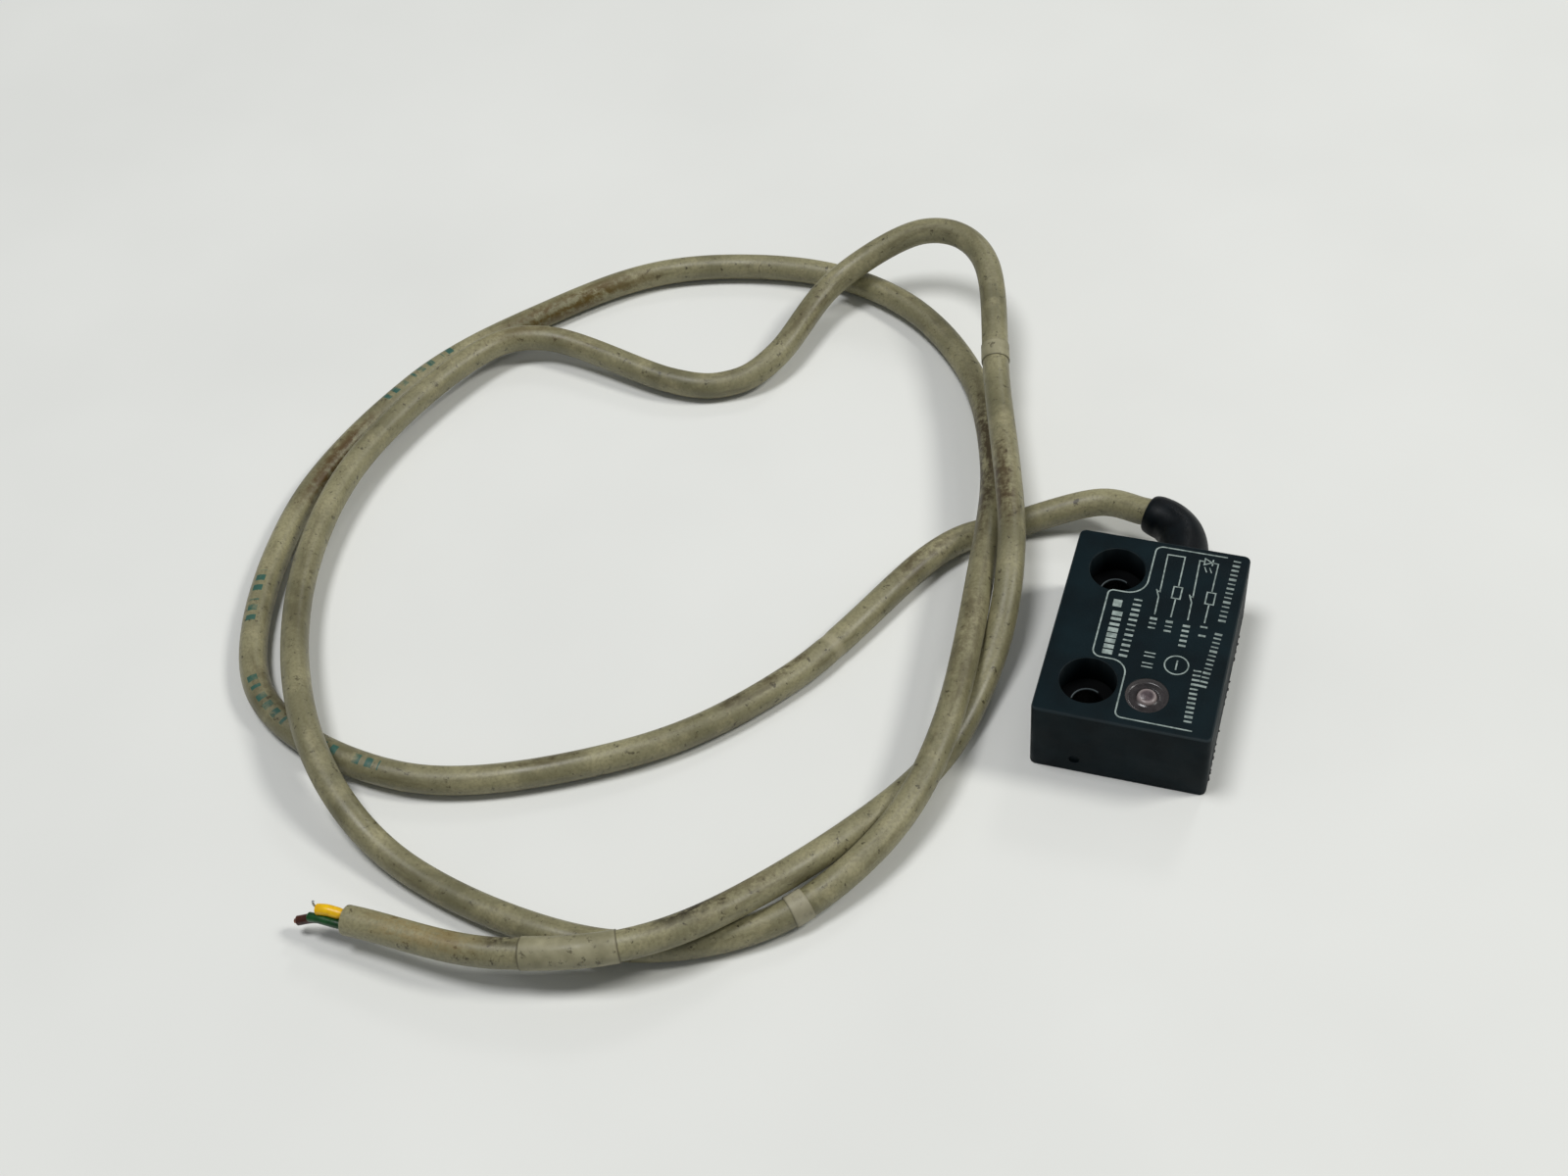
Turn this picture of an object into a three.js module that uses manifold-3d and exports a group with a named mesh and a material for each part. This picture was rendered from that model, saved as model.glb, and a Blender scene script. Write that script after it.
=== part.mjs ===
// Magnetic safety proximity sensor with a fixed lead: a potted rectangular housing with two
// counterbored screw posts, two reed switches, an indicator LED and a four-core cable.
// Millimetres, +Z up out of the printed face, +Y towards the cable end.
// Origin: centre of the housing's footprint, on its base.
import * as THREE from "three";
import { mergeVertices } from "three/addons/utils/BufferGeometryUtils.js";
import Module from "manifold-3d";

const wasm = await Module();
wasm.setup();

// Driving dimensions
const gap = 0.3; // clearance between pieces that touch on the real object
const past = 1; // how far a cutting tool runs past the face that it opens
const body = { width: 26, length: 36, height: 13, wall: 1.5, corner: 1.0, edge: 0.35 };
const screw = { x: -6, pitch: 22, postRadius: 5.3, headRadius: 4.2, headDepth: 5, holeRadius: 2.2 };
const gate = { x: -6.3, z: 2.8, radius: 0.8, depth: 0.4 };
const led = { x: 2.7, y: -11.8, radius: 1.5, flange: 1.75, flangeHeight: 1.0, foot: 7.4, neck: 11.2 };
const ledLead = { radius: 0.25, pitch: 1.27 };
const windowRing = { hole: 3.15, outer: 2.85, inner: 1.8, bottom: 10.4, top: 12.85 };
const board = { x0: 0.2, x1: 11.1, y0: -15.9, y1: 10.4, bottom: 3.4, top: 4.4 };
const potting = { top: board.bottom - gap };
const reed = { xs: [6.6, 9.6], y: -3, z: 8.9, half: 6, rodEnd: 5 };
const glass = { radius: 1.1, tip: 0.88, bore: 0.75, seal: 0.5, shoulder: 1.0 };
const blade = { width: 0.8, thickness: 0.2, contactGap: 0.2, overlap: 1.0, rootGap: 0.5 };
const reedLead = { radius: 0.25, reach: 7.9, bend: 1.6, ease: 0.6, lap: 0.4, steps: 16, sides: 8 };
const resistor = { x: 3.1, ys: [4.6, -4.4], z: 6.5, half: 1.7, radius: 0.9, waist: 0.77, tip: 0.81 };
const resistorLead = { radius: 0.25, span: 2.9, bend: 0.5, lap: 0.4, steps: 10, sides: 8 };
const pad = { xs: [1.4, 4.0, 6.6, 9.2], y: 8.2, radius: 0.8, height: 0.6, sides: 16 };
const core = { radius: 0.55, offset: 0.8, straight: 0.5, drop: 2.3, steps: 12, sides: 10 };
const exit = { x: 2.5, z: 6.5, hole: 3.3 };
const crimp = { start: 13.6, end: 15.5, inner: 2.5, outer: 3.1 };
const boot = { neck: 3.0, bore: 2.5, flange: 4.35, rim: 0.8, root: 4.0, end: 3.23, lip: 2.8, rings: 8 };
const jacket = { radius: 2.2, sides: 10, steps: 80, tailStart: 13.2, tailShare: 0.93 };
const cutEnd = { core: 0.62, copper: 0.42, strand: 0.15, steps: 8, sides: 12 };

const finish = {
  plastic: { color: 0x1d2428, roughness: 0.55 },
  resin: { color: 0x17181a, roughness: 0.7 },
  clear: { color: 0xb9a9a6, roughness: 0.1, transparent: true, opacity: 0.5 },
  ledResin: { color: 0xc79a98, roughness: 0.15 },
  copper: { color: 0xb4693f, roughness: 0.35, metalness: 1 },
  tinned: { color: 0xb9bcc0, roughness: 0.3, metalness: 1 },
  board: { color: 0x1f5a3a, roughness: 0.5 },
  glass: { color: 0x9fb89f, roughness: 0.05, transparent: true, opacity: 0.35 },
  ceramic: { color: 0x9fc4d8, roughness: 0.5 },
  rubber: { color: 0x141617, roughness: 0.8 },
  jacket: { color: 0x9a9278, roughness: 0.5 },
  white: { color: 0xe8e6df, roughness: 0.5 },
  brown: { color: 0x5a3216, roughness: 0.5 },
  green: { color: 0x0f6b2f, roughness: 0.5 },
  yellow: { color: 0xd9a70f, roughness: 0.5 },
};

const part = new THREE.Group();

function place(name, geometry, look) {
  const mesh = new THREE.Mesh(geometry, new THREE.MeshStandardMaterial(finish[look]));
  mesh.name = name;
  part.add(mesh);
  return mesh;
}

// Booleans
function solid(geometry) {
  const bare = geometry.clone();
  bare.deleteAttribute("normal");
  bare.deleteAttribute("uv");
  const merged = mergeVertices(bare, 1e-4);
  return new wasm.Manifold(
    new wasm.Mesh({
      numProp: 3,
      vertProperties: merged.attributes.position.array,
      triVerts: new Uint32Array(merged.index.array),
    }),
  );
}

function geometryOf(manifold) {
  const mesh = manifold.getMesh();
  const geometry = new THREE.BufferGeometry();
  geometry.setAttribute("position", new THREE.BufferAttribute(mesh.vertProperties, 3));
  geometry.setIndex(new THREE.BufferAttribute(mesh.triVerts, 1));
  geometry.computeVertexNormals();
  return geometry;
}

function cut(from, tools) {
  return tools.reduce((left, tool) => left.subtract(solid(tool)), solid(from));
}

function joined(shapes) {
  return shapes.slice(1).reduce((left, shape) => left.add(solid(shape)), solid(shapes[0]));
}

// Shapes
function box([x0, y0, z0], [x1, y1, z1]) {
  const size = [x1 - x0, y1 - y0, z1 - z0].map(Math.abs);
  return new THREE.BoxGeometry(...size).translate((x0 + x1) / 2, (y0 + y1) / 2, (z0 + z1) / 2);
}

function upright(x, y, z0, z1, radius, sides = 32) {
  const rod = new THREE.CylinderGeometry(radius, radius, z1 - z0, sides);
  return rod.rotateX(Math.PI / 2).translate(x, y, (z0 + z1) / 2);
}

function alongY(x, z, y0, y1, radius, sides = 32) {
  return new THREE.CylinderGeometry(radius, radius, y1 - y0, sides).translate(x, (y0 + y1) / 2, z);
}

function roundedPlate(width, length, corner) {
  const shape = new THREE.Shape();
  const x = width / 2 - corner;
  const y = length / 2 - corner;
  shape.moveTo(x + corner, -y);
  shape.absarc(x, y, corner, 0, Math.PI / 2);
  shape.absarc(-x, y, corner, Math.PI / 2, Math.PI);
  shape.absarc(-x, -y, corner, Math.PI, Math.PI * 1.5);
  shape.absarc(x, -y, corner, Math.PI * 1.5, Math.PI * 2);
  return shape;
}

function curve(points) {
  return new THREE.CatmullRomCurve3(points.map((p) => new THREE.Vector3(...p)), false, "catmullrom", 0.5);
}

function tube(points, radius, steps, sides) {
  const section = Array.from({ length: sides }, (_, i) => {
    const angle = (2 * Math.PI * i) / sides;
    return new THREE.Vector2(radius * Math.cos(angle), radius * Math.sin(angle));
  });
  const settings = { steps, bevelEnabled: false, extrudePath: curve(points) };
  return new THREE.ExtrudeGeometry(new THREE.Shape(section), settings);
}

// Turns a profile about +Z: pairs of radius and height.
function turned(profile, sides = 32) {
  const points = profile.map(([radius, height]) => new THREE.Vector2(radius, height));
  return new THREE.LatheGeometry(points, sides).rotateX(Math.PI / 2);
}

// A turned shape laid along +Y, from the point where its axis has height 0.
function turnedAlongY(profile, x, y, z, sides) {
  return turned(profile, sides).rotateX(-Math.PI / 2).translate(x, y, z);
}

// The rounded top of a turned shape, from its widest ring to the axis.
function dome(radius, base, height, steps) {
  const round = Array.from({ length: steps }, (_, i) => {
    const angle = (Math.PI / 2) * (i / steps);
    return [radius * Math.cos(angle), base + height * Math.sin(angle)];
  });
  return [...round, [0, base + height]];
}

// Bends a shape turned about +Z along a curve, height becoming distance along it.
function bent(geometry, path) {
  const length = path.getLength();
  const position = geometry.attributes.position;
  const up = new THREE.Vector3(0, 0, 1);
  for (let i = 0; i < position.count; i += 1) {
    const share = Math.min(Math.max(position.getZ(i) / length, 0), 1);
    const centre = path.getPointAt(share);
    const along = path.getTangentAt(share);
    const side = new THREE.Vector3().crossVectors(up, along).normalize();
    const rise = new THREE.Vector3().crossVectors(along, side);
    centre.addScaledVector(side, position.getX(i)).addScaledVector(rise, position.getY(i));
    position.setXYZ(i, centre.x, centre.y, centre.z);
  }
  return geometry;
}

// The block round one screw, from the base up: a round post filled out to the two walls of its corner
function cornerBlock(side, radius, top) {
  const centre = (side * screw.pitch) / 2;
  const wallX = -body.width / 2 - past;
  const wallY = side * (body.length / 2 + past);
  return [
    upright(screw.x, centre, -past, top, radius, 40),
    box([wallX, centre - side * radius, -past], [screw.x, wallY, top]),
    box([screw.x - past, centre, -past], [screw.x + radius, wallY, top]),
  ];
}

// Housing: a cup that opens downwards, with its screw posts in two corners
function buildHousing() {
  const { width, length, height, wall, corner, edge } = body;
  const outer = new THREE.ExtrudeGeometry(roundedPlate(width, length, corner), {
    depth: height - 2 * edge,
    bevelThickness: edge,
    bevelSize: edge,
    bevelOffset: -edge,
    bevelSegments: 2,
    curveSegments: 6,
  }).translate(0, 0, edge);
  const x = width / 2 - wall;
  const y = length / 2 - wall;
  const roof = height - wall;
  const blocks = [1, -1].flatMap((side) => cornerBlock(side, screw.postRadius, height));
  const cavity = cut(box([-x, -y, -past], [x, y, roof]), blocks);
  const holes = [1, -1].flatMap((side) => {
    const centre = (side * screw.pitch) / 2;
    return [
      upright(screw.x, centre, height - screw.headDepth, height + past, screw.headRadius, 40),
      upright(screw.x, centre, -past, height, screw.holeRadius),
    ];
  });
  const tools = [
    ...holes,
    upright(led.x, led.y, roof - past, height + past, windowRing.hole),
    alongY(exit.x, exit.z, y - past, length / 2 + past, exit.hole),
    alongY(gate.x, gate.z, -length / 2 - past, -length / 2 + gate.depth, gate.radius, 16),
  ];
  const shell = tools.reduce((left, tool) => left.subtract(solid(tool)), solid(outer).subtract(cavity));
  place("housing", geometryOf(shell), "plastic");
}

// Potting compound: the resin slab that closes the underside, flush with the rim, under the board
function buildPotting() {
  const x = body.width / 2 - body.wall - gap;
  const y = body.length / 2 - body.wall - gap;
  const blocks = [1, -1].flatMap((side) => cornerBlock(side, screw.postRadius + gap, body.height));
  place("potting_compound", geometryOf(cut(box([-x, -y, 0], [x, y, potting.top]), blocks)), "resin");
}

function buildBoard() {
  const { x0, x1, y0, y1, bottom, top } = board;
  place("circuit_board", box([x0, y0, bottom], [x1, y1, top]), "board");
}

// Indicator: a 3 mm LED standing in a clear resin ring in the printed face
function buildLed() {
  const { hole, outer, inner, bottom, top } = windowRing;
  const shoulder = top - (hole - outer);
  const ringProfile = [
    [inner, bottom],
    [outer, bottom],
    [outer, top],
    [(outer + inner) / 2, shoulder],
    [inner, shoulder],
    [inner, bottom],
  ];
  place("led_window", turned(ringProfile), "clear").position.set(led.x, led.y, 0);
  const flangeTop = led.foot + led.flangeHeight;
  const profile = [
    [0, led.foot],
    [led.flange, led.foot],
    [led.flange, flangeTop],
    [led.radius, flangeTop],
    ...dome(led.radius, led.neck, led.radius, 6),
  ];
  place("led_body", turned(profile), "ledResin").position.set(led.x, led.y, 0);
  [-1, 1].forEach((side) => {
    const x = led.x + side * ledLead.pitch;
    const lead = upright(x, led.y, board.top + gap, led.foot - gap, ledLead.radius, 12);
    place(side < 0 ? "led_lead_anode" : "led_lead_cathode", lead, "tinned");
  });
}

// Reed switch: glass tube, fixed blade and its lead, moving blade and the lead that it flexes from
function buildReed(number, x) {
  const { y, z, half, rodEnd } = reed;
  const { radius, tip, bore, seal, shoulder } = glass;
  const glassProfile = [
    [seal, -half],
    [tip, -half],
    [radius, -half + shoulder],
    [radius, half - shoulder],
    [tip, half],
    [seal, half],
    [seal, half - shoulder],
    [bore, half - 2 * shoulder],
    [bore, -half + 2 * shoulder],
    [seal, -half + shoulder],
    [seal, -half],
  ];
  place(`reed_${number}_glass`, turnedAlongY(glassProfile, x, y, z, 20), "glass");

  const lift = (blade.contactGap + blade.thickness) / 2;
  const w = blade.width / 2;
  const t = blade.thickness / 2;
  const lap = blade.overlap / 2;
  const lead = (side, inner) => {
    const { radius: thickness, reach, bend, ease, steps, sides } = reedLead;
    const route = [
      [x, y + side * inner, z],
      [x, y + side * (reach - 1), z],
      [x, y + side * (reach - gap / 2), z - ease],
      [x, y + side * reach, z - bend],
      [x, y + side * reach, board.top + gap],
    ];
    return tube(route, thickness, steps, sides);
  };
  const fixedStrip = box([x - w, y - lap, z + lift - t], [x + w, y + rodEnd - gap, z + lift + t]);
  const fixed = joined([lead(1, rodEnd - gap - reedLead.lap), fixedStrip]);
  place(`reed_${number}_fixed_blade`, geometryOf(fixed), "tinned");
  place(`reed_${number}_moving_side_lead`, lead(-1, rodEnd - blade.rootGap + gap), "tinned");
  const root = y - rodEnd + blade.rootGap;
  const moving = box([x - w, root, z - lift - t], [x + w, y + lap, z - lift + t]);
  place(`reed_${number}_moving_blade`, moving, "tinned");
}

// Series resistor: a lacquered body with its two bent leads
function buildResistor(number, y) {
  const { x, z, half, radius, waist, tip } = resistor;
  const capProfile = [
    [0, half],
    [tip, half],
    [radius, half - 0.3],
    [radius, half - 0.8],
    [waist, half - 1],
  ];
  const lower = capProfile.map(([r, h]) => [r, -h]);
  const barrel = turnedAlongY([...lower, ...capProfile.reverse()], x, y, z, 20);
  const { radius: thickness, span, bend, lap, steps, sides } = resistorLead;
  const wires = [-1, 1].map((side) => {
    const route = [
      [x, y + side * (half - lap), z],
      [x, y + side * (span - bend), z],
      [x, y + side * span, z - bend],
      [x, y + side * span, board.top + gap],
    ];
    return tube(route, thickness, steps, sides);
  });
  place(`resistor_${number}`, geometryOf(joined([barrel, ...wires])), "ceramic");
}

// Cores inside the housing, from the jacket's end to their solder joints
function buildTails() {
  const places = { white: [-1, -1], brown: [-1, 1], green: [1, 1], yellow: [1, -1] };
  const start = jacket.tailStart - gap;
  const foot = board.top + gap;
  const landing = foot + core.radius + 0.1;
  Object.entries(places).forEach(([colour, [side, rise]], i) => {
    const x = exit.x + side * core.offset;
    const z = exit.z + rise * core.offset;
    const route = [
      [x, start, z],
      [x, start - core.straight, z],
      [x + (pad.xs[i] - x) * 0.8 - side * 0.16, pad.y + core.drop, (z + landing) / 2],
      [pad.xs[i], pad.y + pad.radius + gap, landing],
    ];
    place(`core_${colour}_tail`, tube(route, core.radius, core.steps, core.sides), colour);
    const joint = turned([[0, foot], ...dome(pad.radius, foot, pad.height, 4)], pad.sides);
    place(`solder_joint_${colour}`, joint, "tinned").position.set(pad.xs[i], pad.y, 0);
  });
}

// The boot's centreline, from the middle of the cable hole's mouth: straight out, then round to -X
const bootRoute = [
  [0, -1.5, 0],
  [0, gap, 0],
  [0, 3, 0],
  [-0.4, 5.9, 0.05],
  [-1.8, 8.7, 0.15],
  [-4.1, 10.9, 0.3],
  [-6.8, 12.1, 0.5],
];
const bootPath = curve(bootRoute.map(([x, y, z]) => [exit.x + x, body.length / 2 + y, exit.z + z]));

// Cable entry: crimp ring inside, elbow boot outside, and the jacket that runs through both
function buildEntry() {
  const end = bootPath.getLength();
  const face = gap - bootRoute[0][1];
  const first = face + 3.2;
  const last = end - 1.2;
  const slope = Array.from({ length: boot.rings }, (_, i) => {
    const share = i / (boot.rings - 1);
    return [boot.root + (boot.end - boot.root) * share, first + (last - first) * share];
  });
  const inside = Array.from({ length: 10 }, (_, i) => [boot.bore, (end * (9 - i)) / 10]);
  const profile = [
    [boot.neck, 0],
    [boot.neck, face],
    [boot.flange, face],
    [boot.flange, face + boot.rim],
    [boot.root + 0.1, face + 2.2],
    ...slope,
    [boot.end - 0.13, end - 0.5],
    [boot.lip, end],
    [boot.bore, end],
    ...inside,
    [boot.neck, 0],
  ];
  place("strain_relief_boot", bent(turned(profile, 24), bootPath), "rubber");

  const inBoot = Array.from({ length: 9 }, (_, i) => {
    return bootPath.getPointAt((jacket.tailShare * i) / 8).toArray();
  });
  const straight = [0, 1.4].map((y) => [exit.x, jacket.tailStart + y, exit.z]);
  place("jacket_tail", tube([...straight, ...inBoot], jacket.radius, 18, 16), "jacket");
  const crimpProfile = [
    [crimp.inner, crimp.start],
    [crimp.outer, crimp.start],
    [crimp.outer, crimp.end],
    [crimp.inner, crimp.end],
    [crimp.inner, crimp.start],
  ];
  place("crimp_ring", turnedAlongY(crimpProfile, exit.x, 0, exit.z), "tinned");
}

// Free cable: from the boot's lip, twice round in a loose loop over itself, to its cut end
const cableRoute = [
  [-4.6, 30.2, 7.0], [-13, 31.5, 5.0], [-25.5, 25.5, 2.5], [-36, 16.5, 2.7], [-51, -12.5, 2.3],
  [-71, -32.5, 2.4], [-102, -44.5, 2.4], [-131.5, -34, 2.3], [-141.5, 1, 2.4], [-134, 35, 2.4],
  [-118, 57.5, 2.4], [-100, 73, 2.4], [-76, 78.5, 2.4], [-56, 73.5, 2.6], [-40.5, 59, 2.5],
  [-31, 36, 5.4], [-27, 11.5, 7.9], [-25, -20.5, 7.4], [-30, -41, 4.9], [-43.5, -57, 2.4],
  [-65.5, -65, 2.9], [-96.5, -59, 2.5], [-116.5, -44.5, 6.9], [-131.5, -17.5, 5.1], [-135, 11, 5.2],
  [-126.5, 39.5, 4.9], [-115, 49.5, 4.1], [-90.5, 45.5, 2.7], [-80, 47.5, 2.4], [-73.5, 54.5, 4.2],
  [-68, 72.5, 6.4], [-54, 81, 13.2], [-41.5, 74.5, 14.3], [-33.5, 49.5, 9.9], [-23, 14, 10.3],
  [-22.5, -8, 3.5], [-29, -30, 2.7], [-51, -61.5, 7.3], [-74.5, -71.5, 6.4], [-99, -71, 4.6],
];

function buildCable() {
  place("cable_jacket", tube(cableRoute, jacket.radius, jacket.steps, jacket.sides), "jacket");
}

// Cut end: the cores that stick out of the jacket towards -X
function buildCutEnd() {
  const [x, y, z] = cableRoute.at(-1);
  const routes = { // distance out of the jacket, offset along +Y and rise, from the middle of its end
    yellow: [[0, 0.16, 0.94], [1.2, 0.18, 1.02], [2.6, 0.2, 1.12], [4.2, 0.1, 0.85]],
    green: [[0, -0.94, 0.16], [1.4, -0.9, 0.14], [3.4, -0.75, 0.05], [5.5, -0.65, -0.25]],
    brown: [[0, -0.16, -0.94], [1.4, -0.05, -1.05], [4.6, -0.1, -1.4], [7.4, -0.7, -1.8]],
    white: [[0, 0.94, -0.16], [0.3, 0.94, -0.16], [0.6, 0.94, -0.16]],
  };
  const tips = {};
  Object.entries(routes).forEach(([colour, offsets]) => {
    const route = offsets.map(([out, side, rise]) => [x - gap - out, y + side, z + rise]);
    tips[colour] = route.at(-1);
    const steps = colour === "white" ? 2 : cutEnd.steps;
    place(`end_core_${colour}`, tube(route, cutEnd.core, steps, cutEnd.sides), colour);
  });
  const copper = [0, 0.4, 0.9].map((out) => {
    const [tipX, tipY, tipZ] = tips.brown;
    return [tipX - gap - out * 0.95, tipY - 0.1 - out * 0.25, tipZ - 0.05 - out * 0.2];
  });
  place("end_copper_brown", tube(copper, cutEnd.copper, 3, 10), "copper");
  const bends = [[0.4, 0.1], [0.75, 0.5], [0.9, 1.2]];
  const strand = bends.map(([out, rise]) => [tips.yellow[0] - out, tips.yellow[1], tips.yellow[2] + rise]);
  place("end_strand_yellow", tube(strand, cutEnd.strand, 4, 8), "tinned");
}

buildHousing();
buildPotting();
buildBoard();
buildLed();
reed.xs.forEach((x, i) => buildReed(i + 1, x));
resistor.ys.forEach((y, i) => buildResistor(i + 1, y));
buildTails();
buildEntry();
buildCable();
buildCutEnd();

export default part;
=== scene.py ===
import bisect
import math

import bmesh
import bpy
from mathutils import Matrix, Vector, noise


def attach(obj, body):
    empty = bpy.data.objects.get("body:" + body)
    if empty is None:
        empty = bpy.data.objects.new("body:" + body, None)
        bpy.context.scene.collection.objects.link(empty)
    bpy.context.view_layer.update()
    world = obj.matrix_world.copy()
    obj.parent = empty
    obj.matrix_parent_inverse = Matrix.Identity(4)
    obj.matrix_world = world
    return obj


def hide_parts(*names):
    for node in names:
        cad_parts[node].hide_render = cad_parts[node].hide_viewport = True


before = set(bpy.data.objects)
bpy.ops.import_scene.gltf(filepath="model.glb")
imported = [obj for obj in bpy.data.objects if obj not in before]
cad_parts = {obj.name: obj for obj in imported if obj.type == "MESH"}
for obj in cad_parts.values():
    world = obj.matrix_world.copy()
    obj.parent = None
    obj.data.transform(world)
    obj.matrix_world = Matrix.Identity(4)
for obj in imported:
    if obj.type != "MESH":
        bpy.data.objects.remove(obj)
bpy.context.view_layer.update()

mm = 0.001
sensorBody = "sensor"


def linear(hexText):  # sRGB hex to the linear colour that a shader takes
    channels = [int(hexText[i:i + 2], 16) / 255 for i in (1, 3, 5)]
    return tuple(c / 12.92 if c <= 0.04045 else ((c + 0.055) / 1.055) ** 2.4 for c in channels) + (1.0,)


def addNode(tree, kind, inputs=None, take=None, **settings):
    # inputs are values, or outputs to link; take returns one output instead of the node
    node = tree.nodes.new(kind)
    for name, value in settings.items():
        setattr(node, name, value)
    for socket, value in (inputs or {}).items():
        if isinstance(value, bpy.types.NodeSocket):
            tree.links.new(value, node.inputs[socket])
        else:
            node.inputs[socket].default_value = value
    return node if take is None else node.outputs[take]


def startMaterial(name, colour, roughness, extra=None):  # extra holds other sockets of the shader
    material = bpy.data.materials.new(name)
    material.use_nodes = True
    tree = material.node_tree
    shader = tree.nodes["Principled BSDF"]
    shader.inputs["Base Color"].default_value = linear(colour)
    shader.inputs["Roughness"].default_value = roughness
    for socket, value in (extra or {}).items():
        shader.inputs[socket].default_value = value
    return material, tree, shader


def objectPoint(tree):
    return addNode(tree, "ShaderNodeTexCoord", take="Object")


def mottleColour(tree, point, low, high, sizeMm, edges=(0.35, 0.65), detail=4.0):  # soft patches of two tones
    patch = addNode(tree, "ShaderNodeTexNoise",
                    {"Vector": point, "Scale": 1 / (sizeMm * mm), "Detail": detail}, take="Fac")
    ramp = addNode(tree, "ShaderNodeValToRGB", {"Fac": patch})
    for element, place, tone in zip(ramp.color_ramp.elements, edges, (low, high)):
        element.position, element.color = place, linear(tone)
    return ramp.outputs["Color"]


def varyRoughness(tree, shader, point, low, high, sizeMm):
    patch = addNode(tree, "ShaderNodeTexNoise",
                    {"Vector": point, "Scale": 1 / (sizeMm * mm), "Detail": 3.0}, take="Fac")
    spread = addNode(tree, "ShaderNodeMapRange",
                     {"Value": patch, "From Min": 0.3, "From Max": 0.7, "To Min": low, "To Max": high},
                     take="Result")
    tree.links.new(spread, shader.inputs["Roughness"])


def raiseGrain(tree, shader, point, grainMm, depthMm, strength=1.0):  # fine surface texture, as bump
    grain = addNode(tree, "ShaderNodeTexNoise",
                    {"Vector": point, "Scale": 1 / (grainMm * mm), "Detail": 3.0}, take="Fac")
    bump = addNode(tree, "ShaderNodeBump",
                   {"Height": grain, "Distance": depthMm * mm, "Strength": strength}, take="Normal")
    tree.links.new(bump, shader.inputs["Normal"])


def smoothLine(points, perSpan=16):  # one smooth curve through points in mm, as dots and distances in metres
    knots = [Vector(p) * mm for p in points]
    knots = [2 * knots[0] - knots[1], *knots, 2 * knots[-1] - knots[-2]]
    dots = []
    for i in range(1, len(knots) - 2):
        before, start, end, after = knots[i - 1:i + 3]
        leave, arrive = (end - before) / 2, (after - start) / 2
        for k in range(perSpan):
            t = k / perSpan
            dots.append((2 * t ** 3 - 3 * t ** 2 + 1) * start + (t ** 3 - 2 * t ** 2 + t) * leave
                        + (3 * t ** 2 - 2 * t ** 3) * end + (t ** 3 - t ** 2) * arrive)
    dots.append(knots[-2])
    runs = [0.0]
    for a, b in zip(dots, dots[1:]):
        runs.append(runs[-1] + (b - a).length)
    return {"dots": dots, "runs": runs, "length": runs[-1]}


def frameOn(line, run, up):  # centre, sideways and upward directions at a distance along the line
    dots, runs = line["dots"], line["runs"]
    i = min(max(bisect.bisect_right(runs, run) - 1, 0), len(dots) - 2)
    share = (run - runs[i]) / (runs[i + 1] - runs[i])
    slopes = [(dots[min(k + 1, len(dots) - 1)] - dots[max(k - 1, 0)]).normalized() for k in (i, i + 1)]
    along = slopes[0].lerp(slopes[1], min(max(share, 0), 1)).normalized()
    side = up.cross(along).normalized()
    return dots[i].lerp(dots[i + 1], share), side, along.cross(side)


def meshOf(bm):
    mesh = bpy.data.meshes.new("shape")
    bm.to_mesh(mesh)
    bm.free()
    return mesh


def turnAlong(line, profile, sides, up=(0, 0, 1), closed=False, swell=None):
    # profile is (distance along, radius) in metres; a radius of 0 closes the piece on its axis
    bm = bmesh.new()
    runLayer = bm.verts.layers.float.new("run")
    turnLayer = bm.verts.layers.float.new("turn")
    rings = []
    for run, radius in profile:
        centre, side, rise = frameOn(line, run, Vector(up))
        count = sides if radius > 1e-7 else 1
        ring = []
        for k in range(count):
            angle = 2 * math.pi * k / count
            r = radius * (swell(run, angle) if swell else 1)
            vert = bm.verts.new(centre + side * (math.sin(angle) * r) - rise * (math.cos(angle) * r))
            vert[runLayer] = run
            vert[turnLayer] = k / count if count > 1 else 0.5
            ring.append(vert)
        rings.append(ring)
    pairs = list(zip(rings, rings[1:])) + ([(rings[-1], rings[0])] if closed else [])
    for a, b in pairs:
        for k in range(sides):
            n = (k + 1) % sides
            if len(a) == 1:
                bm.faces.new((a[0], b[k], b[n]))
            elif len(b) == 1:
                bm.faces.new((a[k], b[0], a[n]))
            else:
                bm.faces.new((a[k], b[k], b[n], a[n]))
    bmesh.ops.recalc_face_normals(bm, faces=bm.faces)
    return meshOf(bm)


def turnStraight(origin, rows, sides, level=False, closed=False):
    # rows are (distance, radius) in mm, upwards from the origin or level along +Y
    start, reach = Vector(origin) * mm, 20 * mm
    way, up = (Vector((0, 1, 0)), (0, 0, 1)) if level else (Vector((0, 0, 1)), (0, 1, 0))
    line = {"dots": [start, start + way * reach], "runs": [0.0, reach]}
    return turnAlong(line, [(run * mm, radius * mm) for run, radius in rows], sides, up, closed)


def stackOutlines(layers):  # layers are (outline in mm, height in mm), from the bottom up
    bm = bmesh.new()
    rings = [[bm.verts.new((x * mm, y * mm, z * mm)) for x, y in outline] for outline, z in layers]
    for a, b in zip(rings, rings[1:]):
        for k in range(len(a)):
            n = (k + 1) % len(a)
            bm.faces.new((a[k], a[n], b[n], b[k]))
    bm.faces.new(rings[0])
    bm.faces.new(rings[-1])
    bmesh.ops.recalc_face_normals(bm, faces=bm.faces)
    return meshOf(bm)


def tempObject(mesh, name="cutter"):
    made = bpy.data.objects.new(name, mesh)
    bpy.context.scene.collection.objects.link(made)
    return made


def plainMesh(made):  # the evaluated shape as a plain mesh, with the modifiers gone
    bpy.context.view_layer.update()
    seen = made.evaluated_get(bpy.context.evaluated_depsgraph_get())
    mesh = bpy.data.meshes.new_from_object(seen)
    made.modifiers.clear()
    return mesh


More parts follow.
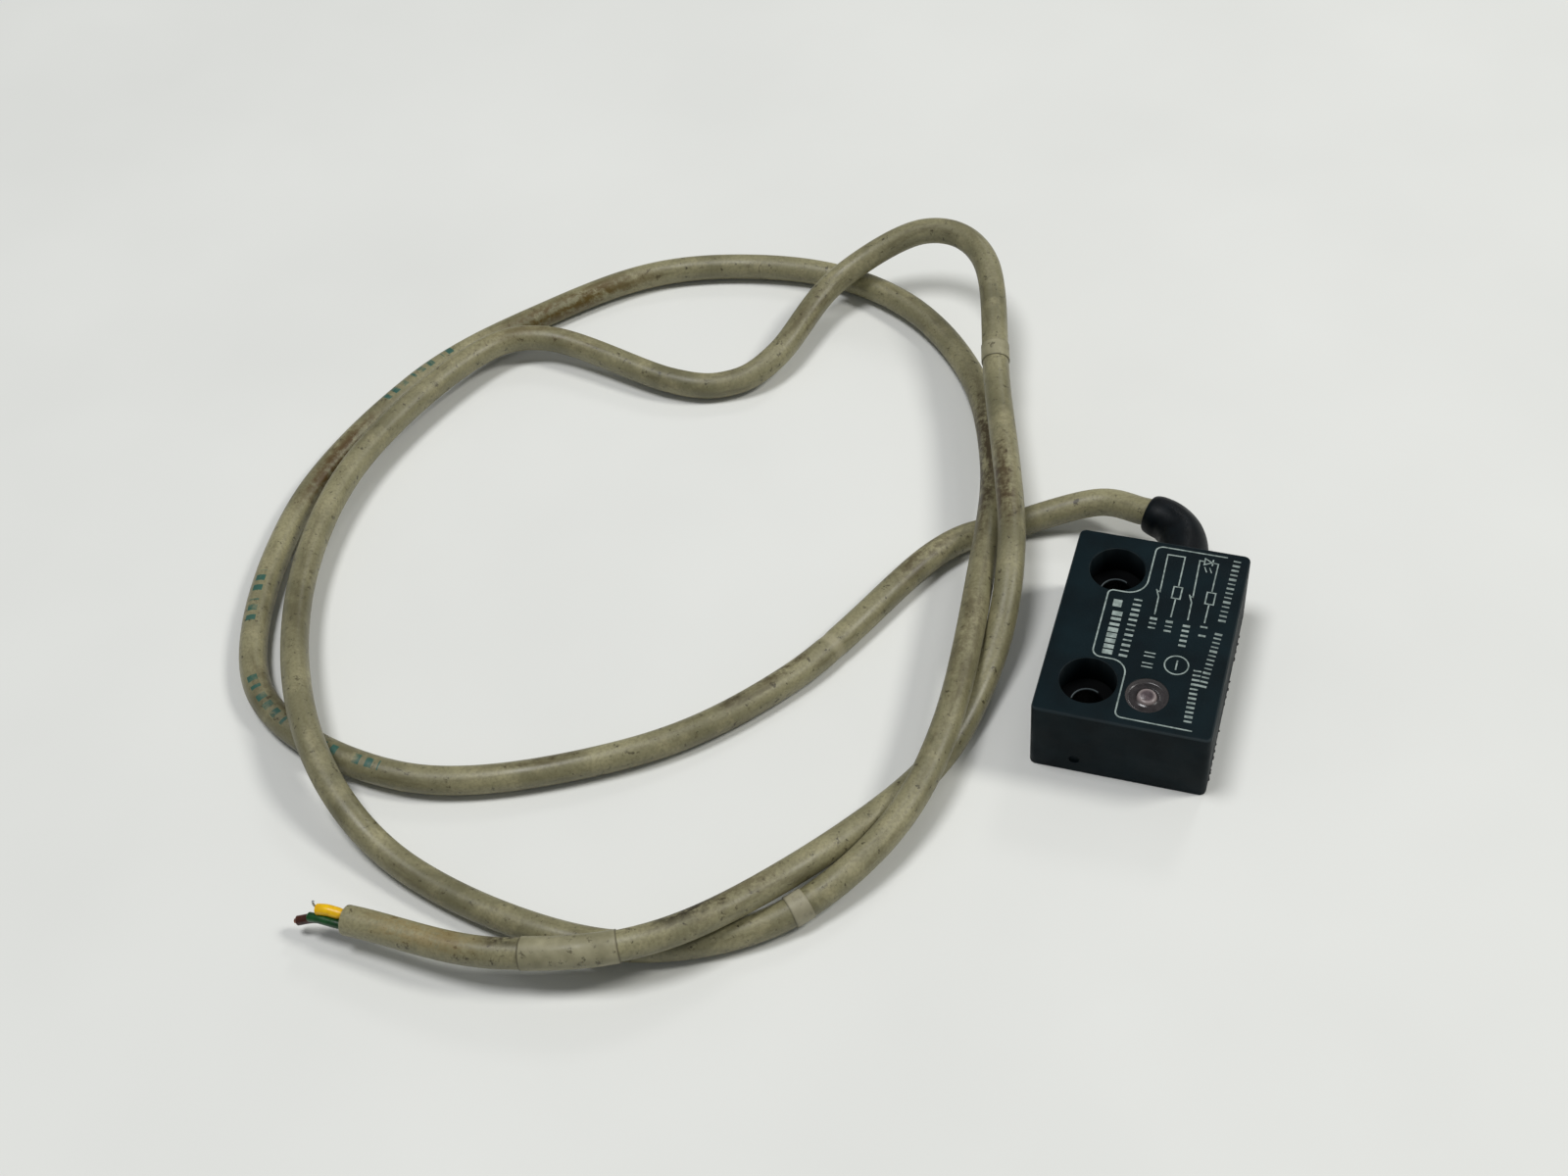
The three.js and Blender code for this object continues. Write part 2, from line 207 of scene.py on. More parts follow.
def carve(mesh, cutters, operation="DIFFERENCE"):
    block = tempObject(mesh, "block")
    tools = [tempObject(cutter) for cutter in cutters]
    for tool in tools:
        cut = block.modifiers.new("cut", "BOOLEAN")
        cut.operation, cut.object, cut.solver = operation, tool, "EXACT"
    result = plainMesh(block)
    for made in (block, *tools):
        bpy.data.objects.remove(made)
    return result


def startTree(name, sockets):  # an empty geometry tree, and its named inputs to link from
    tree = bpy.data.node_groups.new(name, "GeometryNodeTree")
    for socket, kind in {"Geometry": "Geometry", **sockets}.items():
        tree.interface.new_socket(socket, in_out="INPUT", socket_type="NodeSocket" + kind)
    tree.interface.new_socket("Geometry", in_out="OUTPUT", socket_type="NodeSocketGeometry")
    return tree, addNode(tree, "NodeGroupInput").outputs


def endTree(tree, geometry, material):  # copies made real and given their material
    dressed = addNode(tree, "GeometryNodeSetMaterial", {"Geometry": geometry, "Material": material}, 0)
    addNode(tree, "NodeGroupOutput", {"Geometry": dressed})


def grow(tree, values, mesh=None):  # runs a geometry tree on a mesh, its inputs set by their identifiers
    host = tempObject(mesh or bpy.data.meshes.new("seedMesh"), "host")
    grown = host.modifiers.new("grow", "NODES")
    grown.node_group = tree
    for item in tree.interface.items_tree:
        if item.item_type == "SOCKET" and item.in_out == "INPUT" and item.name in values:
            grown[item.identifier] = values[item.name]
    result = plainMesh(host)
    bpy.data.objects.remove(host)
    return result


def makePiece(name, mesh, material, replaces=(), sharpDegrees=35):
    mesh.name = name
    mesh.materials.clear()
    mesh.materials.append(material)
    mesh.polygons.foreach_set("use_smooth", [True] * len(mesh.polygons))
    mesh.set_sharp_from_angle(angle=math.radians(sharpDegrees))
    made = bpy.data.objects.new(name, mesh)
    bpy.context.scene.collection.objects.link(made)
    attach(made, sensorBody)
    if replaces:
        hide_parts(*replaces)
    return made


cameraView = {
    "place": (25.5, -207.4, 260.6),  # mm, in the sensor's own frame
    "aim": (-58.2, 6.4, 0.0),
    "lens": 49.95,
    "sensor": 36,
    "roll": -6.1,  # degrees about the line of sight
}


def makeCamera():
    data = bpy.data.cameras.new("camera")
    data.lens, data.sensor_width = cameraView["lens"], cameraView["sensor"]
    data.clip_start, data.clip_end = 0.01, 20
    camera = bpy.data.objects.new("camera", data)
    bpy.context.scene.collection.objects.link(camera)
    place, aim = Vector(cameraView["place"]) * mm, Vector(cameraView["aim"]) * mm
    look = (aim - place).to_track_quat("-Z", "Y").to_matrix().to_4x4()
    roll = Matrix.Rotation(math.radians(cameraView["roll"]), 4, "Z")
    camera.matrix_world = Matrix.Translation(place) @ look @ roll
    bpy.context.scene.camera = camera


makeCamera()
print("camera set")


cable = {
    "diameter": 4.4,
    "sides": 28,
    "step": 0.9,  # mm between rings
    "inBoot": 1.0,  # how far it starts inside the boot
    "lip": 0.1,  # rounding of the cut edge
    "hollow": (1.62, 0.7),  # radius and depth of the empty end
    "route": [  # mm: out of the boot, twice round in a loose loop over itself, to the cut end
        (-4.6, 29.2, 6.9), (-13, 31.2, 5.0), (-25.5, 25.5, 2.5), (-36, 16.5, 2.7), (-51, -12.5, 2.3),
        (-71, -32.5, 2.4), (-102, -44.5, 2.4), (-131.5, -34, 2.3), (-141.5, 1, 2.4), (-134, 35, 2.4),
        (-118, 57.5, 2.4), (-100, 73, 2.4), (-76, 78.5, 2.4), (-56, 73.5, 2.6), (-40.5, 59, 2.5),
        (-31, 36, 5.4), (-27, 11.5, 7.9), (-25, -20.5, 7.4), (-30, -41, 4.9), (-43.5, -57, 2.4),
        (-65.5, -65, 2.9), (-96.5, -59, 2.5), (-116.5, -44.5, 6.9), (-131.5, -17.5, 5.1), (-135, 11, 5.2),
        (-126.5, 39.5, 4.9), (-115, 49.5, 4.1), (-90.5, 45.5, 2.7), (-80, 47.5, 2.4), (-73.5, 54.5, 4.2),
        (-68, 72.5, 6.4), (-54, 81, 13.2), (-41.5, 74.5, 14.3), (-33.5, 49.5, 9.9), (-23, 14, 10.3),
        (-22.5, -8, 3.5), (-29, -30, 2.7), (-51, -61.5, 7.3), (-74.5, -71.5, 6.4), (-99, -71, 4.6),
    ],
}

jacketMarks = {  # places are mm along the cable, or shares of a turn round it
    "streaks": (110.0, 7.0, 0.0),  # cells to a metre along the cable, and cells round it
    "layers": [  # pattern, where it begins and is full, how strong, colour
        ("streak", 0.54, 0.72, 0.8, "#565037"),  # ground-in grime
        ("fleck", 0.595, 0.655, 0.9, "#2f2917"),  # dark specks
        ("smear", 0.5, 0.7, 0.55, "#a39c78"),  # rubbed cleaner
        ("sand", 0.42, 0.66, 0.4, "#625b40"),
    ],
    "stains": [  # middle, reach, strength, where round the jacket, colour
        (214.5, 15, 1.0, 0.63, "#4a3503"), (268, 20, 0.95, 0.66, "#52400a"), (381, 28, 0.95, 0.62, "#3b2e14"),
        (40, 8, 0.7, 0.5, "#463b20"), (71, 8, 0.8, 0.62, "#463b20"), (80.5, 3.4, 0.75, 0.6, "#3a301a"),
        (112, 9, 0.6, 0.6, "#463b20"), (420, 16, 0.5, 0.5, "#463b20"), (665, 14, 0.4, 0.5, "#5c4a22"),
        (905, 10, 0.5, 0.55, "#463b20"), (722, 9, 0.45, 0.6, "#463b20"), (160, 12, 0.5, 0.62, "#463b20"),
        (940, 3.4, 0.95, 0.63, "#2a2312"), (914, 7, 0.9, 0.63, "#2a2312"), (590, 18, 0.35, 0.6, "#4c4630"),
        (816, 13, 0.85, 0.58, "#413015"), (952, 12, 0.4, 0.5, "#8a7038"),
    ],
    "creases": [61.5],
    "prints": [(134, 145.5), (153.5, 165), (176.5, 187), (229, 245.5)],
    "dashes": [(2.1, 0.55, "LESS_THAN"), (6.7, 0.2, "GREATER_THAN")],  # pitch in mm, share, inked side
    "row": [(0.415, "GREATER_THAN"), (0.535, "LESS_THAN")],  # edges of the printed row
    "ink": "#20544a",
}


def pvcJacket():  # extruded PVC, satin and handled: khaki grey and grimy, brown stains, worn blue-green print
    material, tree, shader = startMaterial("extrudedPvcJacket", "#8b8465", 0.42, {"Specular IOR Level": 0.5})
    marks = jacketMarks
    point = objectPoint(tree)
    run, turn = [addNode(tree, "ShaderNodeAttribute", take="Fac", attribute_name=name)
                 for name in ("run", "turn")]

    def within(value, middle, reach, full, most=1.0):  # fades in from both sides, towards the middle
        offset = addNode(tree, "ShaderNodeMath", {0: value, 1: middle}, 0, operation="SUBTRACT")
        away = addNode(tree, "ShaderNodeMath", {0: offset}, 0, operation="ABSOLUTE")
        return addNode(tree, "ShaderNodeMapRange",
                       {"Value": away, "From Min": reach, "From Max": full, "To Max": most}, "Result")

    def paint(under, masks, tone):  # lays a tone on where all the masks meet
        amount = masks[0]
        for mask in masks[1:]:
            amount = addNode(tree, "ShaderNodeMath", {0: amount, 1: mask}, 0, operation="MULTIPLY")
        return addNode(tree, "ShaderNodeMix", {0: amount, 6: under, 7: linear(tone)}, 2, data_type="RGBA")

    # streaks run along the cable, because their pattern is stretched by the sleeve's own coordinates
    sleeve = addNode(tree, "ShaderNodeCombineXYZ", {"X": run, "Y": turn}, 0)
    stretched = addNode(tree, "ShaderNodeVectorMath", {0: sleeve, 1: marks["streaks"]}, 0,
                        operation="MULTIPLY")
    patterns = {}
    for name, where, scale, detail, roughness in (
            ("streak", stretched, 1.0, 6.0, 0.62), ("fleck", point, 1 / (1.2 * mm), 5.0, 0.7),
            ("smear", point, 1 / (4.5 * mm), 6.0, 0.65), ("sand", point, 1 / (0.45 * mm), 3.0, 0.5)):
        patterns[name] = addNode(tree, "ShaderNodeTexNoise", {
            "Vector": where, "Scale": scale, "Detail": detail, "Roughness": roughness}, "Fac")

    colour = mottleColour(tree, point, "#676449", "#938e6d", 12, (0.3, 0.7), 5.0)
    for name, begins, full, most, tone in marks["layers"]:
        mask = addNode(tree, "ShaderNodeMapRange", {
            "Value": patterns[name], "From Min": begins, "From Max": full, "To Max": most}, "Result")
        colour = paint(colour, [mask], tone)

    # stains break up into streaks and specks
    half = addNode(tree, "ShaderNodeMath", {0: patterns["fleck"], 1: 0.5}, 0, operation="MULTIPLY")
    broken = addNode(tree, "ShaderNodeMath", {0: patterns["streak"], 1: 0.5, 2: half}, 0,
                     operation="MULTIPLY_ADD")
    patchy = addNode(tree, "ShaderNodeMapRange",
                     {"Value": broken, "From Min": 0.42, "From Max": 0.53}, "Result")
    for middle, reach, strength, around, tone in marks["stains"]:
        near = within(run, middle * mm, reach * mm, reach * mm * 0.35, strength)
        colour = paint(colour, [near, within(turn, around, 0.2, 0.08), patchy], tone)
    for middle in marks["creases"]:
        colour = paint(colour, [within(run, middle * mm, 1.2 * mm, 0.5 * mm, 0.5)], "#a59e80")

    # the print is plain dashes, worn through in places
    dashes = [addNode(tree, "ShaderNodeMapRange", {
        "Value": patterns["smear"], "From Min": 0.68, "From Max": 0.5, "To Max": 0.92}, "Result")]
    for pitch, share, inked in marks["dashes"]:
        cells = addNode(tree, "ShaderNodeMath", {0: run, 1: 1 / (pitch * mm)}, 0, operation="MULTIPLY")
        cell = addNode(tree, "ShaderNodeMath", {0: cells}, 0, operation="FRACT")
        dashes.append(addNode(tree, "ShaderNodeMath", {0: cell, 1: share}, 0, operation=inked))
    for edge, inked in marks["row"]:
        dashes.append(addNode(tree, "ShaderNodeMath", {0: turn, 1: edge}, 0, operation=inked))
    for start, end in marks["prints"]:
        after = addNode(tree, "ShaderNodeMath", {0: run, 1: start * mm}, 0, operation="GREATER_THAN")
        before = addNode(tree, "ShaderNodeMath", {0: run, 1: end * mm}, 0, operation="LESS_THAN")
        colour = paint(colour, [after, before, *dashes], marks["ink"])
    tree.links.new(colour, shader.inputs["Base Color"])

    varyRoughness(tree, shader, point, 0.36, 0.56, 9)
    pits = addNode(tree, "ShaderNodeMath", {0: patterns["fleck"], 1: 0.4}, 0, operation="MULTIPLY")
    height = addNode(tree, "ShaderNodeMath", {0: patterns["streak"], 1: 0.6, 2: pits}, 0,
                     operation="MULTIPLY_ADD")
    bump = addNode(tree, "ShaderNodeBump",
                   {"Height": height, "Distance": 0.12 * mm, "Strength": 0.6}, "Normal")
    tree.links.new(bump, shader.inputs["Normal"])
    return material


def makeCable():
    line = smoothLine(cable["route"])
    start, side, rise = frameOn(line, 0.0, Vector((0, 0, 1)))
    straight = side.cross(rise)
    if straight.dot(line["dots"][1] - line["dots"][0]) < 0:
        straight = -straight
    inBoot, radius = cable["inBoot"] * mm, cable["diameter"] / 2 * mm
    line["dots"].insert(0, start - straight * inBoot)
    line["runs"].insert(0, -inBoot)
    length, lip, edge = line["length"], cable["lip"] * mm, 0.05 * mm
    rings = round(length / (cable["step"] * mm))
    profile = [(-inBoot, 0.0), (-inBoot, radius)]
    profile += [((length - lip) * k / rings, radius) for k in range(rings + 1)]
    for a in (math.radians(30), math.radians(60), math.radians(90)):
        profile.append((length - lip * (1 - math.sin(a)), radius - lip * (1 - math.cos(a))))
    hollow, depth = [size * mm for size in cable["hollow"]]
    profile += [(length, hollow + edge), (length - edge, hollow), (length - depth, hollow),
                (length - depth, 0.0)]

    def swell(run, angle):  # the jacket isn't quite round, and is creased where it was bent hard
        uneven = 1 + 0.012 * noise.noise(Vector((run * 90, math.sin(angle), math.cos(angle))))
        for middle in jacketMarks["creases"]:
            uneven -= 0.05 * math.exp(-((run - middle * mm) / (0.8 * mm)) ** 2)
        return uneven

    mesh = turnAlong(line, profile, cable["sides"], swell=swell)
    jacket = makePiece("cable_jacket_skin", mesh, jacketPvc, replaces=["cable_jacket"])
    dots = line["dots"]
    return jacket, line, [tuple(dot) for dot in (*dots[::2], dots[-1])]


jacketPvc = pvcJacket()
cableJacket, cableLine, cablePath = makeCable()
print("cable laid,", round(cableLine["length"], 4), "m")


tapeWraps = {
    "inner": 2.23, "outer": 2.36, "sides": 36, "edge": 0.05, "step": 0.9,
    "places": {  # start, end, grime along the edges
        "wide_tape_wrap": (923.5, 937.2, 0.75),
        "narrow_tape_wrap": (471.3, 474.1, 0.15),
        "upper_tape_wrap": (783.2, 786.6, 0.35),
    },
}


def clearTape(name, low, high, specks):  # clear polyester tape: a slightly paler band, grimy along its edges
    material, tree, shader = startMaterial(name, high, 0.5, {"Specular IOR Level": 0.4})
    point = objectPoint(tree)
    base = mottleColour(tree, point, low, high, 3.0, (0.3, 0.7))
    fleck = addNode(tree, "ShaderNodeTexNoise",
                    {"Vector": point, "Scale": 1 / (1.4 * mm), "Detail": 5.0, "Roughness": 0.7}, "Fac")
    dirt = addNode(tree, "ShaderNodeMapRange",
                   {"Value": fleck, "From Min": 0.57, "From Max": 0.64, "To Max": specks}, "Result")
    edge = addNode(tree, "ShaderNodeAttribute", take="Fac", attribute_name="edge")
    most = addNode(tree, "ShaderNodeMath", {0: dirt, 1: edge}, 0, operation="MAXIMUM")
    mix = addNode(tree, "ShaderNodeMix", {0: most, 6: base, 7: linear("#3a331f")}, 2, data_type="RGBA")
    tree.links.new(mix, shader.inputs["Base Color"])
    varyRoughness(tree, shader, point, 0.42, 0.6, 2.5)
    raiseGrain(tree, shader, point, 0.8, 0.05)
    return material


def makeWraps():
    grubby = clearTape("grubbyPolyesterTape", "#787459", "#989377", 0.7)
    clean = clearTape("cleanPolyesterTape", "#87826b", "#a19c84", 0.2)
    inner, outer, edge, step = [tapeWraps[size] * mm for size in ("inner", "outer", "edge", "step")]
    made = []
    for name, (start, end, grimeAndShade) in tapeWraps["places"].items():
        start, end = start * mm, end * mm
        steps = max(4, round((end - start) / step))
        flat = end - start - 12 * edge
        profile = [(start + edge, outer)]
        profile += [(start + 6 * edge + flat * k / steps, outer) for k in range(steps + 1)]
        profile += [(end - edge, outer), (end, outer - edge), (end, inner)]
        profile += [(end - (end - start) * k / steps, inner) for k in range(1, steps + 1)]
        profile += [(start, outer - edge)]

        def swell(run, angle):
            return 1 + 0.012 * noise.noise(Vector((run * 400, 2 * math.sin(angle), 2 * math.cos(angle))))

        mesh = turnAlong(cableLine, profile, tapeWraps["sides"], closed=True, swell=swell)
        rim = mesh.attributes.new("edge", "FLOAT", "POINT")
        for i, run in enumerate(mesh.attributes["run"].data):
            rim.data[i].value = grimeAndShade if min(run.value - start, end - run.value) < 2 * edge else 0.0
        tape = clean if name == "narrow_tape_wrap" else grubby
        made.append(makePiece(name, mesh, tape, sharpDegrees=50))
    return made


wraps = makeWraps()
print("tape wraps made")


def plainFinish(name, tone, patch, patchMm, roughness, sheen, sheenMm, grain=None, extra=None):
    # two tones in patches, roughness that wanders between two values, and a fine grain (size, depth) in mm
    material, tree, shader = startMaterial(name, tone, roughness, extra)
    point = objectPoint(tree)
    tree.links.new(mottleColour(tree, point, *patch, patchMm), shader.inputs["Base Color"])
    varyRoughness(tree, shader, point, *sheen, sheenMm)
    if grain:
        raiseGrain(tree, shader, point, *grain)
    return material


metal = {"Metallic": 1.0}
coreColours = {  # extruded PVC insulation, glossy and slightly uneven in colour
    "yellow": ("#d9a400", "#efc000"), "green": ("#043611", "#084c1a"),
    "brown": ("#32130a", "#4c2312"), "white": ("#c9c5b8", "#dedad0"),
}
insulation = {colour: plainFinish(colour + "PvcInsulation", tones[1], tones, 1.2, 0.35, (0.25, 0.45), 0.8,
                                  (0.25, 0.02)) for colour, tones in coreColours.items()}
# bare copper strands, drawn bright and dulled to a reddish brown
copper = plainFinish("drawnCopper", "#b5654a", ("#8a3f2c", "#c98763"), 0.5, 0.32, (0.25, 0.5), 0.3,
                     (0.08, 0.01), metal)
# tinned wire: bright grey metal with a faint drawn grain
tinnedWire = plainFinish("tinnedCopper", "#b9bcc0", ("#9b9ea3", "#c6c9cc"), 0.6, 0.3, (0.22, 0.42), 0.5,
                         (0.15, 0.01), metal)

cutEnd = {  # sizes in mm
    "gap": 0.3,  # from the end of the route to the cut face
    "facets": 24, "step": 0.3,
    "squeezed": 0.66,  # radius of a core inside the jacket
    "widens": (1.6, 1.2),  # where a core begins to swell to its own radius, and over what length
    "rim": 0.12, "recess": 0.25,  # rounding of the cut insulation, and how deep its metal sits
    "radius": {"yellow": 0.85, "green": 0.7, "brown": 0.72, "white": 0.7},
    "cores": {  # out of the jacket, offset along +Y, rise
        "yellow": [(-2.0, 0.17, 0.95), (0, 0.17, 1.0), (1.2, 0.18, 1.06), (2.6, 0.2, 1.12), (4.1, 0.1, 0.85)],
        "green": [(-2.0, -0.95, 0.17), (0, -1.0, 0.17), (1.4, -0.95, 0.14), (3.4, -0.8, 0.05),
                  (5.3, -0.7, -0.25)],
        "brown": [(-2.0, -0.17, -0.95), (0, -0.17, -1.0), (1.4, -0.05, -1.05), (4.8, -0.15, -1.3),
                  (7.5, -0.8, -2.0)],
        "white": [(-2.0, 0.95, -0.17), (-0.6, 1.0, -0.17), (-0.2, 1.0, -0.17), (0.2, 1.0, -0.17)],
    },
    "strands": {  # reach beyond the insulation, fray, seed
        "brown": (0.35, 0.1, 4), "green": (0.12, 0.02, 7), "yellow": (0.1, 0.02, 9), "white": (0.1, 0.02, 2),
    },
    "sunk": 0.4,  # how far the strands start inside the insulation
    "strandRadius": 0.13, "bundleRadius": 0.25,
    "loose": [(0.3, 0.2, 0.1), (-0.15, 0.25, 0.25), (-0.45, 0.3, 0.5), (-0.6, 0.4, 0.85), (-0.5, 0.5, 1.2)],
    "looseRadius": 0.17,
}


def strandTree():  # a bundle of straight strands, one in the middle and a ring round it
    tree, given = startTree("strandBundle", {
        "Strands": "Int", "Strand Radius": "Float", "Bundle Radius": "Float", "Length": "Float",
        "Fray": "Float", "Seed": "Int", "Metal": "Material"})
    ring = addNode(tree, "GeometryNodeMeshCircle",
                   {"Vertices": given["Strands"], "Radius": given["Bundle Radius"]}, "Mesh")
    middle = addNode(tree, "GeometryNodeMeshLine", {"Count": 1}, "Mesh")
    both = addNode(tree, "GeometryNodeJoinGeometry")
    for points in (ring, middle):
        tree.links.new(points, both.inputs[0])
    strand = addNode(tree, "GeometryNodeMeshCylinder", {
        "Vertices": 10, "Radius": given["Strand Radius"], "Depth": given["Length"]}, "Mesh")
    low = addNode(tree, "ShaderNodeMath", {0: given["Fray"], 1: -1.0}, 0, operation="MULTIPLY")
    least = addNode(tree, "ShaderNodeCombineXYZ", {"X": low, "Y": low}, 0)
    most = addNode(tree, "ShaderNodeCombineXYZ", {"X": given["Fray"], "Y": given["Fray"]}, 0)
    lean = addNode(tree, "FunctionNodeRandomValue", {"Min": least, "Max": most, "Seed": given["Seed"]},
                   "Value", data_type="FLOAT_VECTOR")
    turned = addNode(tree, "FunctionNodeEulerToRotation", {"Euler": lean}, 0)
    placed = addNode(tree, "GeometryNodeInstanceOnPoints", {
        "Points": both.outputs[0], "Instance": strand, "Rotation": turned}, 0)
    endTree(tree, addNode(tree, "GeometryNodeRealizeInstances", {"Geometry": placed}, 0), given["Metal"])
    return tree


def makeCutEnd():
    face = Vector(cable["route"][-1]) - Vector((cutEnd["gap"], 0, 0))
    tight, rim, recess, step = [cutEnd[size] * mm for size in ("squeezed", "rim", "recess", "step")]
    begins, widening = [size * mm for size in cutEnd["widens"]]
    made, tips = [], {}
    for colour, offsets in cutEnd["cores"].items():
        line = smoothLine([(face.x - out, face.y + side, face.z + rise) for out, side, rise in offsets], 8)
        length, radius = line["length"], cutEnd["radius"][colour] * mm
        steps = max(6, round(length / step))
        profile = [(0.0, 0.0), (0.0, tight * 0.9)]
        for k in range(1, steps):
            free = min(1.0, max(0.0, (length * k / steps - begins) / widening))
            profile.append((length * k / steps, tight + (radius - tight) * free))
        profile += [(length - rim, radius), (length, radius - rim), (length, radius * 0.62),
                    (length - recess, radius * 0.58), (length - recess, 0.0)]
        mesh = turnAlong(line, profile, cutEnd["facets"])
        made.append(makePiece(f"{colour}_core", mesh, insulation[colour],
                              replaces=["end_core_" + colour]))
        tips[colour] = (line["dots"][-1], (line["dots"][-1] - line["dots"][-2]).normalized())
    strands, sunk = strandTree(), cutEnd["sunk"]
    for colour, (reach, fray, seed) in cutEnd["strands"].items():
        tip, along = tips[colour]
        mesh = grow(strands, {
            "Strands": 6, "Strand Radius": cutEnd["strandRadius"] * mm, "Length": (sunk + reach) * mm,
            "Bundle Radius": cutEnd["bundleRadius"] * mm, "Fray": fray, "Seed": seed, "Metal": copper})
        middle = tip + along * ((reach - sunk) / 2 * mm)
        mesh.transform(Matrix.Translation(middle) @ along.to_track_quat("Z", "Y").to_matrix().to_4x4())
        made.append(makePiece(f"{colour}_core_strands", mesh, copper,
                              replaces=["end_copper_brown"] if colour == "brown" else []))
    line = smoothLine([tuple(tips["yellow"][0] / mm + Vector(away)) for away in cutEnd["loose"]], 6)
    wire, length = cutEnd["looseRadius"] * mm, line["length"]
    profile = [(0.0, 0.0), *((length * k / 14, wire) for k in range(15)), (length + wire * 0.5, 0.0)]
    mesh = turnAlong(line, profile, 12, up=(0, 1, 0))
    made.append(makePiece("loose_strand", mesh, tinnedWire, replaces=["end_strand_yellow"]))
    return made


endPieces = makeCutEnd()
print("cut end made")


boot = {
    "route": [(2.5, 16.5, 6.5), (2.5, 18.3, 6.5), (2.5, 21.0, 6.5), (2.1, 23.9, 6.55), (0.95, 26.3, 6.65),
              (-1.2, 28.1, 6.8), (-4.3, 29.05, 6.9)],
    "face": 1.8,  # mm from the inner end to the housing's back face, with its gap
    "neck": 3.0, "flange": 4.35, "rim": 0.8, "root": 4.05, "end": 3.3, "lip": 2.62, "bore": 2.3, "sides": 72,
    "mouth": 2.2,  # the length that draws in round the cable
    "tail": [(2.5, 13.2, 6.5), (2.5, 14.6, 6.5)],  # the jacket's way from the crimp ring to the boot
    "tailStops": 0.75,  # mm before the boot's lip
    "tailRings": 40,
}


def makeBoot():
    line = smoothLine(boot["route"], 12)
    length, face, rim, end = line["length"] / mm, boot["face"], boot["face"] + boot["rim"], boot["end"]
    neck, flange, root, bore = [boot[size] for size in ("neck", "flange", "root", "bore")]
    rows = [(0.0, neck), (face - 0.05, neck), (face, neck + 0.05), (face, flange - 0.15),
            (face + 0.12, flange), (rim - 0.15, flange), (rim, flange - 0.12), (rim + 0.25, root + 0.06)]
    first, last = rim + 0.6, length - boot["mouth"]
    for k in range(25):  # tapers gently as far as the bend
        rows.append((first + (last - first) * k / 24, root + (end - root) * (k / 24) ** 0.9))
    for k in range(1, 13):  # then draws in round the cable to a thin lip
        a = math.pi / 2 * k / 12
        rows.append((last + (length - last) * math.sin(a), end - (end - boot["lip"]) * (1 - math.cos(a))))
    rows.append((length - 0.05, bore + 0.08))
    rows += [((length - 0.3) * (1 - k / 14), bore) for k in range(15)]
    mesh = turnAlong(line, [(run * mm, radius * mm) for run, radius in rows], boot["sides"], closed=True)
    # moulded TPE: black, satin, with a dusty bloom and a fine even grain
    rubber = plainFinish("mouldedTpe", "#0a0e10", ("#060a0d", "#0b1216"), 2.2, 0.42, (0.34, 0.55), 3.0,
                         (0.22, 0.03), {"Specular IOR Level": 0.15})
    return makePiece("boot_elbow", mesh, rubber, replaces=["strain_relief_boot"],
                     sharpDegrees=60)


def makeJacketTail():  # the jacket from the crimp ring through the boot, as far as the cable's own start
    line = smoothLine([*boot["tail"], *boot["route"]], 12)
    end, radius = line["length"] - boot["tailStops"] * mm, cable["diameter"] / 2 * mm
    rings = boot["tailRings"]
    profile = [(0.0, 0.0), *((end * k / rings, radius) for k in range(rings + 1)), (end, 0.0)]
    mesh = turnAlong(line, profile, cable["sides"])
    return makePiece("jacket_tail_skin", mesh, jacketPvc, replaces=["jacket_tail"])


bootElbow = makeBoot()
jacketTail = makeJacketTail()
print("boot made")


housing = {  # sizes and places in mm
    "width": 26.0, "length": 36.0, "height": 13.0, "corner": 1.0, "wall": 1.5,
    "edge": 0.4, "foot": 0.2, "edgeSteps": 5, "cornerSteps": 8,  # roundings of the top and bottom edges
    "screwX": -6.0, "screwY": 11.0, "post": 5.3, "head": 4.2, "seat": 8.0, "shank": 2.2,
    "shankBreak": 0.18, "headBreak": 0.15, "windowBreak": 0.1,  # broken edges of the openings
    "windowX": 2.7, "windowY": -11.8, "window": 3.15,
    "exitX": 2.5, "exitZ": 6.5, "exitRadius": 3.3,
    "gateX": -6.3, "gateZ": 2.8, "gateRadius": 0.8,
}


def roundedOutline(width, length, corner, steps):
    points = []
    for x, y, first in ((1, 1, 0), (-1, 1, 90), (-1, -1, 180), (1, -1, 270)):
        for k in range(steps + 1):
            a = math.radians(first + 90 * k / steps)
            points.append((x * (width / 2 - corner) + corner * math.cos(a),
                           y * (length / 2 - corner) + corner * math.sin(a)))
    return points


def cavityOutline(inset):  # inside the walls and round the two screw posts, drawn in by inset
    x = housing["width"] / 2 - housing["wall"] - inset
    y = housing["length"] / 2 - housing["wall"] - inset
    reach = housing["post"] + inset
    cx, cy = housing["screwX"], housing["screwY"]
    turns = [math.pi / 2 * k / 12 for k in range(13)]
    points = [(x, -y), (x, y), (cx + reach, y)]
    points += [(cx + reach * math.cos(a), cy - reach * math.sin(a)) for a in turns]
    points += [(-x, cy - reach), (-x, -cy + reach)]
    points += [(cx + reach * math.cos(a), -cy + reach * math.sin(a)) for a in reversed(turns)]
    return [*points, (cx + reach, -y)]


def cutter(origin, rows, sides=72, level=False):  # turned, with flat ends
    return turnStraight(origin, [(rows[0][0], 0.0), *rows, (rows[-1][0], 0.0)], sides, level)


